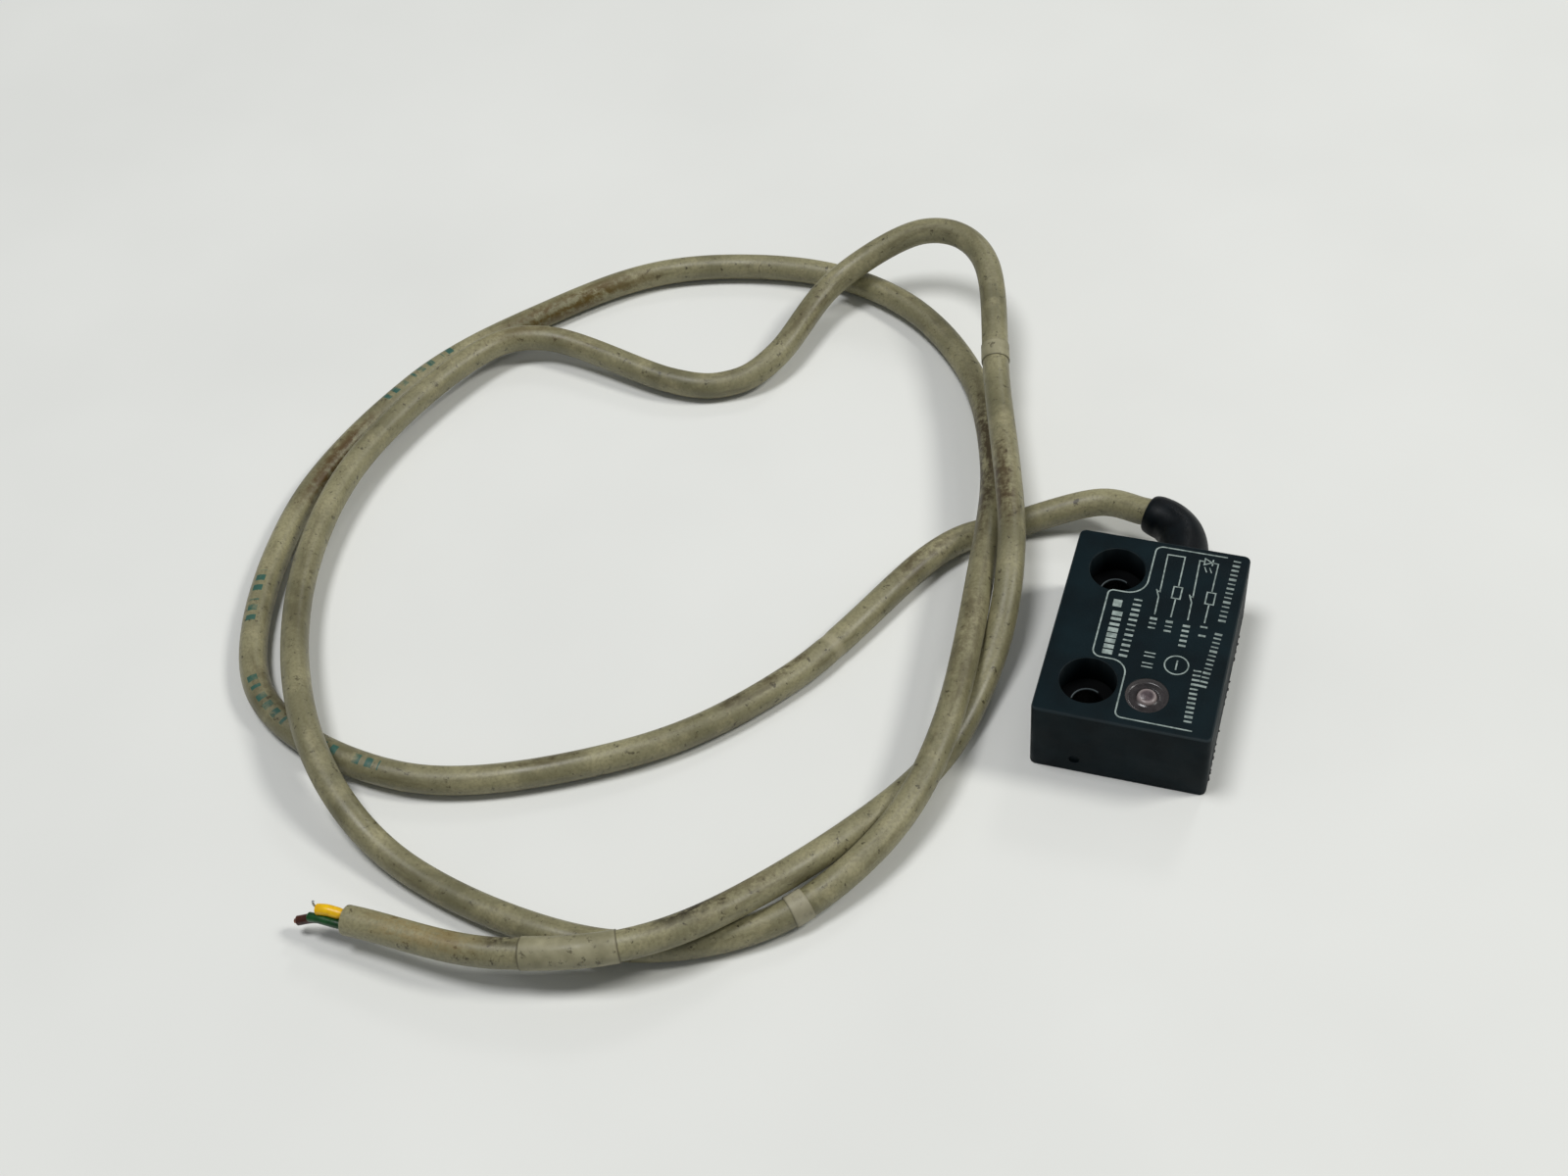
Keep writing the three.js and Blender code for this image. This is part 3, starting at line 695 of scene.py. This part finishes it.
def mouldedPbt():  # glass-filled PBT off a spark-eroded tool: blue-black, semi-matt, its edges scuffed paler, with a painted highlight on one side of each screw hole's rim and painted shade inside the holes
    material, tree, shader = startMaterial("mouldedPbt", "#091418", 0.5, {"Specular IOR Level": 0.08})
    point = objectPoint(tree)
    colour = mottleColour(tree, point, "#081317", "#0c1c21", 5.0, (0.3, 0.7), 5.0)
    dust = addNode(tree, "ShaderNodeTexNoise",
                   {"Vector": point, "Scale": 1 / (0.9 * mm), "Detail": 6.0, "Roughness": 0.75}, "Fac")
    dusty = addNode(tree, "ShaderNodeMapRange",
                    {"Value": dust, "From Min": 0.66, "From Max": 0.76, "To Max": 0.4}, "Result")
    wearAndHighlight, grimeAndShade = [addNode(tree, "ShaderNodeAttribute", take="Fac", attribute_name=name)
                   for name in ("wearAndHighlight", "grimeAndShade")]
    # dust specks, then pale edge wear with a painted highlight on the screw rims, then painted shade in the
    # screw holes
    for mask, tone in ((dusty, "#2c3436"), (wearAndHighlight, "#8c979a"), (grimeAndShade, "#020304")):
        colour = addNode(tree, "ShaderNodeMix", {0: mask, 6: colour, 7: linear(tone)}, 2, data_type="RGBA")
    tree.links.new(colour, shader.inputs["Base Color"])
    varyRoughness(tree, shader, point, 0.42, 0.6, 4.0)
    raiseGrain(tree, shader, point, 0.16, 0.03, 0.7)
    return material


def markWearHighlightAndShade(mesh):  # rubbed pale on the rounded edges, a painted highlight on one side of each screw hole's rim, and painted shade in the holes
    h = housing
    wearAndHighlight = mesh.attributes.new("wearAndHighlight", "FLOAT", "POINT")
    grimeAndShade = mesh.attributes.new("grimeAndShade", "FLOAT", "POINT")
    for vert in mesh.vertices:
        x, y, z = vert.co / mm
        grain = 0.5 + 0.5 * noise.noise(Vector((x, y, z)) * 0.9)
        edgeWearAndRimHighlight = 0.14 * grain if 0.02 < h["height"] - z < h["edge"] - 0.02 or 0.02 < z < 0.18 else 0.0
        fromScrew = math.hypot(x - h["screwX"], abs(y) - h["screwY"])
        turned = math.degrees(math.atan2(y - math.copysign(h["screwY"], y), x - h["screwX"]))
        onRim = abs(fromScrew - h["shank"] - h["shankBreak"]) < 0.02 and abs(z - h["seat"]) < 0.02
        # a painted highlight on one side of the rim round each screw's seat; the pale rounded edges above are
        # wear
        if onRim and 55 < turned < 175:
            edgeWearAndRimHighlight = 0.6
        wearAndHighlight.data[vert.index].value = edgeWearAndRimHighlight
        # painted shade: near black inside each screw hole
        grimeAndShade.data[vert.index].value = 1.0 if fromScrew < h["head"] + 0.05 and not edgeWearAndRimHighlight else 0.0


def makeHousing():
    h = housing
    width, length, height, edge, foot = [h[size] for size in ("width", "length", "height", "edge", "foot")]
    turns = [math.pi / 2 * k / h["edgeSteps"] for k in range(h["edgeSteps"] + 1)]
    layers = [(foot * (1 - math.sin(a)), foot * (1 - math.cos(a))) for a in turns]
    layers += [(edge * (1 - math.cos(a)), height - edge * (1 - math.sin(a))) for a in turns]
    block = stackOutlines([
        (roundedOutline(width - 2 * inset, length - 2 * inset, h["corner"] - inset, h["cornerSteps"]), z)
        for inset, z in layers])
    roof, seat, shank, head = height - h["wall"], h["seat"], h["shank"], h["head"]
    rim, mouth, window, lip = h["shankBreak"], h["headBreak"], h["window"], h["windowBreak"]
    cutters = [stackOutlines([(cavityOutline(0), -1), (cavityOutline(0), roof)])]
    for side in (1, -1):
        cutters.append(cutter((h["screwX"], side * h["screwY"], 0), [
            (-1, shank), (seat - rim, shank), (seat, shank + rim), (seat + 0.0005, shank + 0.26),
            (seat + 0.001, head), (height - mouth, head), (height, head + mouth), (height + 1, head + 0.16)]))
    cutters.append(cutter((h["windowX"], h["windowY"], 0), [
        (roof - 1, window), (height - lip, window), (height, window + lip), (height + 1, window + lip)]))
    back, front, way, gate = length / 2, -length / 2, h["exitRadius"], h["gateRadius"]
    cutters.append(cutter((h["exitX"], 0, h["exitZ"]), [(back - 3, way), (back + 1, way)], 48, level=True))
    cutters.append(cutter((h["gateX"], 0, h["gateZ"]), [
        (front - 1, gate), (front + 0.25, gate), (front + 0.4, gate * 0.8)], 32, level=True))
    mesh = carve(block, cutters)
    markWearHighlightAndShade(mesh)
    makePiece("housing_shell", mesh, mouldedPbt(), replaces=["housing"], sharpDegrees=32)


makeHousing()
print("housing moulded")


# filled epoxy, poured and cured: near black, lumpy, half glossy
resin = plainFinish("pouredEpoxy", "#15161a", ("#101114", "#26272a"), 1.8, 0.45, (0.3, 0.7), 2.5, (0.5, 0.08))

potting = {  # mm
    "inset": 0.3, "top": 3.1, "cell": 0.45, "dish": 0.35, "ripple": 0.12,
    "level": 0.03,  # lowest point, above the rim's plane
    "climbs": (11.2, 16.2, 0.9),  # where it starts up the walls on each axis, and how steeply
}


def makePotting():
    p = potting
    xs, ys = int(housing["width"] / p["cell"]) + 1, int(housing["length"] / p["cell"]) + 1
    wallX, wallY, climb = p["climbs"]
    bm = bmesh.new()
    rows = {}
    for level in (0, 1):
        for i in range(xs + 1):
            for j in range(ys + 1):
                x = (i / xs - 0.5) * housing["width"]
                y = (j / ys - 0.5) * housing["length"]
                edge = min(wallX - abs(x), wallY - abs(y))
                dished = p["dish"] * (1 - math.exp(-max(edge, 0) / climb))  # it climbs the walls as it cures
                ripple = p["ripple"] * (0.5 + 0.5 * noise.noise(Vector((x, y, 0)) * 0.45))
                z = p["top"] if level else p["level"] + dished + ripple * min(max(edge, 0), 1)
                rows[level, i, j] = bm.verts.new((x * mm, y * mm, z * mm))
    for level in (0, 1):
        for i in range(xs):
            for j in range(ys):
                bm.faces.new([rows[level, i + a, j + b] for a, b in ((0, 0), (1, 0), (1, 1), (0, 1))])
    rim = [(i, 0) for i in range(xs)] + [(xs, j) for j in range(ys)]
    rim += [(i, ys) for i in range(xs, 0, -1)] + [(0, j) for j in range(ys, 0, -1)]
    for a, b in zip(rim, rim[1:] + rim[:1]):
        bm.faces.new((rows[0, *a], rows[0, *b], rows[1, *b], rows[1, *a]))
    bmesh.ops.recalc_face_normals(bm, faces=bm.faces)
    outline = cavityOutline(p["inset"])
    mesh = carve(meshOf(bm), [stackOutlines([(outline, -0.5), (outline, p["top"] + 1)])], "INTERSECT")
    makePiece("potting_fill", mesh, resin, replaces=["potting_compound"], sharpDegrees=45)


flash = {  # beads of resin that ran over the rim on the cable side and dried there, in mm
    "runs": [((13.0, -15.0, 0.45), (13.0, -6.0, 0.4)), ((13.0, -1.0, 0.5), (13.0, 3.5, 0.45)),
             ((13.0, 8.0, 0.45), (13.0, 12.5, 0.6)), ((9.0, 18.0, 0.4), (11.5, 18.0, 0.4))],
    "pitch": 1.15, "smallest": (0.12, 0.3, 0.15), "largest": (0.4, 1.1, 0.55), "bumpiness": 0.35, "seed": 11,
}


def scatterTree():  # lumps along each edge of the host mesh
    tree, given = startTree("lumpsAlongEdges", {
        "Pitch": "Float", "Smallest": "Vector", "Largest": "Vector", "Bumpiness": "Float", "Seed": "Int",
        "Finish": "Material"})
    line = addNode(tree, "GeometryNodeMeshToCurve", {"Mesh": given["Geometry"]}, 0)
    dots = addNode(tree, "GeometryNodeResampleCurve", {"Curve": line, "Length": given["Pitch"]}, 0,
                   mode="LENGTH")
    lump = addNode(tree, "GeometryNodeMeshIcoSphere", {"Radius": 0.5, "Subdivisions": 3}, "Mesh")
    size = addNode(tree, "FunctionNodeRandomValue", {
        "Min": given["Smallest"], "Max": given["Largest"], "Seed": given["Seed"]}, "Value",
        data_type="FLOAT_VECTOR")
    placed = addNode(tree, "GeometryNodeInstanceOnPoints",
                     {"Points": dots, "Instance": lump, "Scale": size}, 0)
    real = addNode(tree, "GeometryNodeRealizeInstances", {"Geometry": placed}, 0)
    place = addNode(tree, "GeometryNodeInputPosition", take=0)
    rough = addNode(tree, "ShaderNodeTexNoise",
                    {"Vector": place, "Scale": 1 / (0.5 * mm), "Detail": 2.0}, "Color")
    centred = addNode(tree, "ShaderNodeVectorMath", {0: rough, 1: (0.5, 0.5, 0.5)}, 0, operation="SUBTRACT")
    push = addNode(tree, "ShaderNodeVectorMath", {0: centred, "Scale": given["Bumpiness"]}, 0,
                   operation="SCALE")
    moved = addNode(tree, "GeometryNodeSetPosition", {"Geometry": real, "Offset": push}, 0)
    endTree(tree, moved, given["Finish"])
    return tree


def makeFlash():
    bm = bmesh.new()
    for start, end in flash["runs"]:
        bm.edges.new([bm.verts.new(Vector(p) * mm) for p in (start, end)])
    mesh = grow(scatterTree(), {
        "Pitch": flash["pitch"] * mm, "Smallest": tuple(size * mm for size in flash["smallest"]),
        "Largest": tuple(size * mm for size in flash["largest"]), "Bumpiness": flash["bumpiness"] * mm,
        "Seed": flash["seed"], "Finish": resin}, meshOf(bm))
    makePiece("resin_flash", mesh, resin, sharpDegrees=80)


makePotting()
makeFlash()
print("potting poured")


lamp = {  # mm
    "x": 2.7, "y": -11.8, "radius": 1.5, "flange": 1.75, "foot": 7.4, "neck": 12.15, "sides": 72,
    "cap": 0.75, "shoulder": 0.4, "capDip": 0.14,  # height of the cap, its rounding and its dished top
    "windowOuter": 3.1, "windowInner": 1.54, "windowBottom": 10.4, "windowTop": 12.9,
    "dip": 0.5, "climb": 0.12,  # how far the poured surface sinks, and climbs again at the lens
}


def lampResin(name, tone, patch, patchMm, roughness, sheen, sheenMm, grain, rim, extra):
    # rim is (start, end, amount, colour): a painted highlight, in another tone, blends in from start to end,
    # mm off the lamp's axis
    material, tree, shader = startMaterial(name, tone, roughness, extra)
    point = objectPoint(tree)
    base = mottleColour(tree, point, *patch, patchMm)
    fromAxis = addNode(tree, "ShaderNodeVectorMath", {0: point, 1: (lamp["x"] * mm, lamp["y"] * mm, 0)}, 0,
                       operation="SUBTRACT")
    flat = addNode(tree, "ShaderNodeVectorMath", {0: fromAxis, 1: (1, 1, 0)}, 0, operation="MULTIPLY")
    far = addNode(tree, "ShaderNodeVectorMath", {0: flat}, "Value", operation="LENGTH")
    start, end, amount, highlightTone = rim
    # a ring of painted highlight towards the edge
    ring = addNode(tree, "ShaderNodeMapRange",
                   {"Value": far, "From Min": start * mm, "From Max": end * mm, "To Max": amount}, "Result")
    mix = addNode(tree, "ShaderNodeMix", {0: ring, 6: base, 7: linear(highlightTone)}, 2, data_type="RGBA")
    tree.links.new(mix, shader.inputs["Base Color"])
    varyRoughness(tree, shader, point, *sheen, sheenMm)
    raiseGrain(tree, shader, point, *grain)
    return material


def makeIndicator():
    # tinted diffusing epoxy of a 3 mm LED: unlit, a dusty pinkish brown with a bright gloss and a painted
    # highlight round its shoulder
    epoxy = lampResin("tintedLedEpoxy", "#6f5a5d", ("#40373a", "#594d50"), 0.9, 0.25, (0.18, 0.32), 0.8,
                      (0.5, 0.01), (0.8, 1.2, 0.8, "#958a88"), {"IOR": 1.5})
    # clear casting resin over the dark inside of the housing: smoky, pinkish, glossy, with a painted
    # highlight round its outer edge
    cast = lampResin("castResin", "#352d30", ("#221f20", "#393435"), 1.5, 0.16, (0.2, 0.34), 1.0,
                     (0.9, 0.03), (2.6, 3.0, 0.6, "#706c6b"), {"Transmission Weight": 0.3, "IOR": 1.5})
    radius, flange, foot = lamp["radius"], lamp["flange"], lamp["foot"]
    cap, shoulder = lamp["cap"], lamp["shoulder"]
    axis, neck, dip = (lamp["x"], lamp["y"], 0), lamp["neck"], lamp["capDip"]
    rows = [(foot, 0), (foot, flange), (foot + 1, flange), (foot + 1, radius)]
    for degrees in range(0, 91, 6):  # a rounded shoulder and a slightly dished top
        a = math.radians(degrees)
        rows.append((neck + cap * math.sin(a), radius - shoulder * (1 - math.cos(a))))
    for k in range(1, 9):
        rows.append((neck + cap - dip * math.sin(math.pi / 2 * k / 8), (radius - shoulder) * (1 - k / 8)))
    makePiece("led_lens", turnStraight(axis, rows, lamp["sides"]), epoxy, replaces=["led_body"],
              sharpDegrees=50)
    inner, outer, bottom, top = [lamp["window" + end] for end in ("Inner", "Outer", "Bottom", "Top")]
    rows = [(bottom, inner), (bottom, outer), (top - 0.02, outer)]
    for k in range(1, 13):  # the resin climbs both walls, so its surface is a shallow trough
        share = k / 12
        fall = min(1.0, share / 0.3)  # steep at the rim, then level as far as the lens
        height = top - lamp["dip"] * math.sin(math.pi / 2 * fall)
        height += lamp["climb"] * max(0.0, share - 0.8) / 0.2
        rows.append((height, outer + (inner - outer) * share))
    makePiece("led_window_resin", turnStraight(axis, rows, lamp["sides"], closed=True), cast,
              replaces=["led_window"], sharpDegrees=55)


makeIndicator()
print("indicator made")


label = {"height": 13.0, "thickness": 0.02, "sunk": 0.01, "line": 0.22, "fine": 0.2}  # mm


def screenInk():  # pale screen-printed ink on plastic: matt, a little grey-green, thin where it is rubbed
    material, tree, shader = startMaterial("screenInk", "#8b9893", 0.6, {"Specular IOR Level": 0.3})
    point = objectPoint(tree)
    colour = mottleColour(tree, point, "#66736f", "#98a5a0", 0.8, (0.3, 0.6))
    across = addNode(tree, "ShaderNodeSeparateXYZ", {"Vector": point}, "X")
    faded = addNode(tree, "ShaderNodeMapRange",
                    {"Value": across, "From Min": 7 * mm, "From Max": 12.5 * mm, "To Max": 0.35}, "Result")
    mix = addNode(tree, "ShaderNodeMix", {0: faded, 6: colour, 7: linear("#2f393b")}, 2, data_type="RGBA")
    tree.links.new(mix, shader.inputs["Base Color"])
    varyRoughness(tree, shader, point, 0.5, 0.7, 1.0)
    raiseGrain(tree, shader, point, 0.12, 0.01)
    return material


def roundCorners(points, radii):  # radii is one for each inner corner
    result = [Vector(points[0])]
    for before, corner, after, radius in zip(points, points[1:], points[2:], radii):
        before, corner, after = Vector(before), Vector(corner), Vector(after)
        into, out = (before - corner).normalized(), (after - corner).normalized()
        half = into.angle(out) / 2
        centre = corner + (into + out).normalized() * (radius / math.sin(half))
        first = corner + into * (radius / math.tan(half)) - centre
        last = corner + out * (radius / math.tan(half)) - centre
        sweep = first.angle_signed(last)
        result += [centre + Matrix.Rotation(-sweep * k / 8, 2) @ first for k in range(9)]
    return [*result, Vector(points[-1])]


def inkLine(bm, points, width, closed=False):
    points = [Vector(p) for p in points]
    count = len(points)
    low, high = (label["height"] - label["sunk"]) * mm, (label["height"] + label["thickness"]) * mm
    rings = []
    for i, here in enumerate(points):
        ways = []
        if i or closed:
            ways.append((here - points[i - 1]).normalized())
        if i + 1 < count or closed:
            ways.append((points[(i + 1) % count] - here).normalized())
        along = sum(ways, Vector((0, 0))).normalized()
        across = Vector((-along.y, along.x))
        across *= width / 2 / max(0.5, abs(across.dot(Vector((-ways[0].y, ways[0].x)))))
        ring = []
        for side, z in ((1, low), (-1, low), (-1, high), (1, high)):
            x, y = (here + across * side) * mm
            ring.append(bm.verts.new((x, y, z)))
        rings.append(ring)
    pairs = list(zip(rings, rings[1:])) + ([(rings[-1], rings[0])] if closed else [])
    for a, b in pairs:
        for k in range(4):
            n = (k + 1) % 4
            bm.faces.new((a[k], a[n], b[n], b[k]))
    if not closed:
        bm.faces.new(rings[0])
        bm.faces.new(rings[-1])


def makeDiagram():
    wide, fine = label["line"], label["fine"]
    bm = bmesh.new()
    frameLine = [(9.6, 16.9), (-1.1, 16.9), (-1.1, 6.75), (-6.45, 6.75), (-6.45, -6.35), (-1.1, -6.35),
                 (-1.1, -16.65), (10.0, -16.75)]
    inkLine(bm, roundCorners(frameLine, [1.1, 2.9, 0.8, 1.3, 2.4, 1.0]), wide)
    for x, top, link in ((0.95, 15.55, 3.45), (5.85, 15.4, 8.4)):  # two contacts, each with its resistor
        lines = [[(x + 0.05, 3.4), (x, 6.9), (x - 0.55, 8.35)], [(x - 0.35, 8.0), (x + 0.02, 7.98)]]
        if link < 5:
            lines.append([(x + 0.02, 7.85), (x - 0.15, top), (link - 0.05, top + 0.05), (link, 9.45)])
        else:
            lines.append([(x + 0.02, 7.85), (x - 0.2, top), (x + 0.5, top)])
            lines.append([(x + 1.75, top - 0.05), (link + 0.05, top - 0.1), (link, 9.45)])
        for points in (*lines, [(link, 7.15), (link - 0.05, 3.4)]):
            inkLine(bm, points, fine)
        box = [(link - 0.62, 7.15), (link + 0.62, 7.15), (link + 0.62, 9.45), (link - 0.62, 9.45)]
        inkLine(bm, box, fine, closed=True)
    inkLine(bm, [(6.4, 14.75), (6.4, 16.0), (7.5, 15.37)], fine, closed=True)  # diode
    inkLine(bm, [(7.6, 14.75), (7.6, 16.0)], fine)
    for shift in (0.0, 0.75):
        inkLine(bm, [(6.55 + shift, 14.3), (7.0 + shift, 13.3)], fine * 0.8)
    turns = [2 * math.pi * k / 36 for k in range(36)]
    ring = [(5.8 + 1.72 * math.cos(a), -5.4 + 1.72 * math.sin(a)) for a in turns]
    inkLine(bm, ring, fine, closed=True)  # a plain ring with a bar across it
    inkLine(bm, [(5.8, -6.3), (5.8, -4.5)], wide)
    inkLine(bm, [(-4.7, 3.6), (-4.7, 5.0)], 1.3)  # a plain block
    for y in (-6.7, -4.7):  # two pairs of short bars
        for shift in (0, 0.7):
            inkLine(bm, [(0.9, y + shift), (2.5, y + shift)], fine)
    bmesh.ops.recalc_face_normals(bm, faces=bm.faces)
    makePiece("printed_diagram", meshOf(bm), ink)


printedRows = {  # stand-ins for lettering: start, end, bar height and pitch in mm
    "bold": [((-4.35, -5.2), (-4.35, 2.3), 1.5, 1.05)],
    "plain": [((-2.0, -5.4), (-1.85, 5.6), 1.25, 0.95), ((9.1, -15.2), (8.9, -5.8), 1.15, 0.82),
              ((10.1, -8.4), (10.7, 1.7), 1.1, 0.82), ((10.75, 4.4), (11.1, 16.4), 1.1, 0.86)],
    "codes": [((1.0, 0.75), (1.0, 2.55), 1.05, 0.85), ((3.35, 0.65), (3.35, 2.45), 1.05, 0.85),
              ((5.9, -1.6), (5.9, 2.2), 1.05, 0.85), ((8.4, 0.9), (8.4, 2.6), 1.05, 0.85)],
}
barFullness = {"bold": 0.86, "plain": 0.55, "codes": 0.55}  # widest bar, as a share of the pitch
firstSeed = 3


def barTree():  # printed bars of uneven width in rows along the host's edges
    tree, given = startTree("printedBars", {
        "Pitch": "Float", "Tall": "Float", "Thick": "Float", "Fullness": "Float", "Seed": "Int",
        "Ink": "Material"})
    line = addNode(tree, "GeometryNodeMeshToCurve", {"Mesh": given["Geometry"]}, 0)
    dots = addNode(tree, "GeometryNodeResampleCurve", {"Curve": line, "Length": given["Pitch"]}, 0,
                   mode="LENGTH")
    bar = addNode(tree, "GeometryNodeMeshCube", {"Size": (1.0, 1.0, 1.0)}, "Mesh")
    widest = addNode(tree, "ShaderNodeMath", {0: given["Pitch"], 1: given["Fullness"]}, 0,
                     operation="MULTIPLY")
    least = addNode(tree, "ShaderNodeMath", {0: widest, 1: 0.45}, 0, operation="MULTIPLY")
    width = addNode(tree, "FunctionNodeRandomValue", {"Seed": given["Seed"]}, data_type="FLOAT")
    for name, limit in (("Min", least), ("Max", widest)):
        tree.links.new(limit, [s for s in width.inputs if s.name == name and s.type == "VALUE"][0])
    long = [s for s in width.outputs if s.type == "VALUE" and s.enabled][0]
    size = addNode(tree, "ShaderNodeCombineXYZ", {"X": long, "Y": given["Tall"], "Z": given["Thick"]}, 0)
    along = addNode(tree, "GeometryNodeInputTangent", take=0)
    turned = addNode(tree, "FunctionNodeAlignRotationToVector", {"Vector": along}, 0, axis="X",
                     pivot_axis="Z")
    placed = addNode(tree, "GeometryNodeInstanceOnPoints", {
        "Points": dots, "Instance": bar, "Rotation": turned, "Scale": size}, 0)
    endTree(tree, addNode(tree, "GeometryNodeRealizeInstances", {"Geometry": placed}, 0), given["Ink"])
    return tree


def makeRows():
    bars, seed = barTree(), firstSeed
    middle = label["height"] + label["thickness"] / 2 - label["sunk"] / 2
    for kind, rows in printedRows.items():
        joined = bmesh.new()
        for start, end, tall, pitch in rows:
            bm = bmesh.new()
            bm.edges.new([bm.verts.new(Vector((x, y, middle)) * mm) for x, y in (start, end)])
            joined.from_mesh(grow(bars, {
                "Pitch": pitch * mm, "Tall": tall * mm, "Thick": (label["thickness"] + label["sunk"]) * mm,
                "Fullness": barFullness[kind], "Seed": seed, "Ink": ink}, meshOf(bm)))
            seed += 1
        makePiece(f"printed_{kind}_rows", meshOf(joined), ink)


ink = screenInk()
makeDiagram()
makeRows()
print("face printed")


def solderMask():  # green solder mask over copper tracks: glossy, tracks a shade lighter
    material, tree, shader = startMaterial("solderMaskedFr4", "#1c5a38", 0.35)
    point = objectPoint(tree)
    tracks = addNode(tree, "ShaderNodeTexBrick", {
        "Vector": point, "Scale": 1 / mm, "Color1": linear("#1c5a38"), "Color2": linear("#195234"),
        "Mortar": linear("#2a7145"), "Mortar Size": 0.12, "Mortar Smooth": 0.3, "Brick Width": 7.0,
        "Row Height": 1.27}, "Color")
    tree.links.new(tracks, shader.inputs["Base Color"])
    varyRoughness(tree, shader, point, 0.28, 0.45, 2.0)
    raiseGrain(tree, shader, point, 0.6, 0.02)
    return material


def bandedLacquer(middle):  # dipped and lacquered body, pale blue with plain bands, on bright tinned wires
    material, tree, shader = startMaterial("resistorLacquer", "#8fb4c8", 0.35)
    point = objectPoint(tree)
    along = addNode(tree, "ShaderNodeSeparateXYZ", {"Vector": point}, "Y")
    wave = addNode(tree, "ShaderNodeMath", {0: along, 1: 1 / (0.8 * mm)}, 0, operation="MULTIPLY")
    share = addNode(tree, "ShaderNodeMath", {0: wave}, 0, operation="FRACT")
    band = addNode(tree, "ShaderNodeMath", {0: share, 1: 0.3}, 0, operation="LESS_THAN")
    shift = addNode(tree, "ShaderNodeMath", {0: along, 1: middle * mm}, 0, operation="SUBTRACT")
    away = addNode(tree, "ShaderNodeMath", {0: shift}, 0, operation="ABSOLUTE")
    wire = addNode(tree, "ShaderNodeMath", {0: away, 1: 1.72 * mm}, 0, operation="GREATER_THAN")
    colour = linear("#8fb4c8")
    for mask, tone in ((band, "#7a4a26"), (wire, "#b9bcc0")):
        colour = addNode(tree, "ShaderNodeMix", {0: mask, 6: colour, 7: linear(tone)}, 2, data_type="RGBA")
    tree.links.new(colour, shader.inputs["Base Color"])
    tree.links.new(wire, shader.inputs["Metallic"])
    varyRoughness(tree, shader, point, 0.25, 0.45, 0.6)
    raiseGrain(tree, shader, point, 0.2, 0.01)
    return material


resistorMiddles = {1: 4.6, 2: -4.4}  # mm along Y


def dressInside():  # the parts inside keep their shapes and get their real finishes
    # reed blades: silvery, faintly warm
    nickelIron = plainFinish("platedNickelIron", "#b5b4ae", ("#8f8f8a", "#b5b4ae"), 0.6, 0.3, (0.24, 0.39),
                             0.4, (0.2, 0.01), metal)
    # bright, slightly frosted beads
    solder = plainFinish("reflowedSolder", "#c9ccd0", ("#9da0a4", "#c9ccd0"), 0.9, 0.2, (0.16, 0.26), 0.6,
                         (0.3, 0.01), metal)
    # zinc-plated crimp ring: dull grey, even
    ferrule = plainFinish("pressedSteel", "#a9acae", ("#84878a", "#a9acae"), 0.75, 0.35, (0.28, 0.455), 0.5,
                          (0.25, 0.01), metal)
    # green-tinted lead glass of a reed switch
    glass = plainFinish("leadGlass", "#b9d4b8", ("#a9c9a8", "#c6dcc4"), 2.0, 0.05, (0.03, 0.1), 1.5,
                        extra={"Transmission Weight": 0.9, "IOR": 1.53})
    finishes = {"circuit_board": solderMask(), "crimp_ring": ferrule,
                "led_lead_anode": tinnedWire, "led_lead_cathode": tinnedWire}
    for number, middle in resistorMiddles.items():
        finishes[f"reed_{number}_glass"] = glass
        finishes[f"resistor_{number}"] = bandedLacquer(middle)
        for name in ("fixed_blade", "moving_blade", "moving_side_lead"):
            finishes[f"reed_{number}_{name}"] = nickelIron
    for colour in coreColours:
        finishes[f"core_{colour}_tail"] = insulation[colour]
        finishes[f"solder_joint_{colour}"] = solder
    for node, finish in finishes.items():
        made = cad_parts[node]
        made.data.materials.clear()
        made.data.materials.append(finish)


dressInside()
print("inner parts finished")


room = {  # metres, then the power and colour of each lamp
    "floor": 4.0, "aim": (-0.05, 0.0, 0.0),
    "lamps": {  # place, size, power, colour
        "key": ((1.0, 0.35, 1.25), 0.4, 11.5, "#fffefa"),
        "overhead": ((-0.35, -0.1, 1.5), 0.5, 11.5, "#fdfdff"),
        "behind": ((0.2, 1.2, 1.0), 0.3, 1.8, "#ffffff"),
    },
    "backdrop": ("#eef2f4", 0.22),
}


def paleFloor():  # a white painted bench top: matt and almost even
    material, tree, shader = startMaterial("paintedBench", "#e0e1dd", 0.6)
    colour = mottleColour(tree, objectPoint(tree), "#dedfdb", "#e3e4e0", 60, (0.3, 0.7), 3.0)
    tree.links.new(colour, shader.inputs["Base Color"])
    return material


def makeRoom():
    bm = bmesh.new()
    half = room["floor"] / 2
    bm.faces.new([bm.verts.new((x * half, y * half, 0)) for x, y in ((-1, -1), (1, -1), (1, 1), (-1, 1))])
    floor = tempObject(meshOf(bm), "floor")
    floor.data.materials.append(paleFloor())
    for name, (place, size, power, colour) in room["lamps"].items():
        data = bpy.data.lights.new(name, "AREA")
        data.shape, data.size, data.energy = "DISK", size, power
        data.color = linear(colour)[:3]
        light = bpy.data.objects.new(name, data)
        bpy.context.scene.collection.objects.link(light)
        light.location = place
        light.rotation_euler = (Vector(room["aim"]) - light.location).to_track_quat("-Z", "Y").to_euler()
    world = bpy.data.worlds.new("studio")
    world.use_nodes = True
    backdrop = world.node_tree.nodes["Background"]
    colour, strength = room["backdrop"]
    backdrop.inputs["Color"].default_value = linear(colour)
    backdrop.inputs["Strength"].default_value = strength
    bpy.context.scene.world = world
    bpy.context.scene.view_settings.view_transform = "Standard"


makeRoom()
print("room lit")
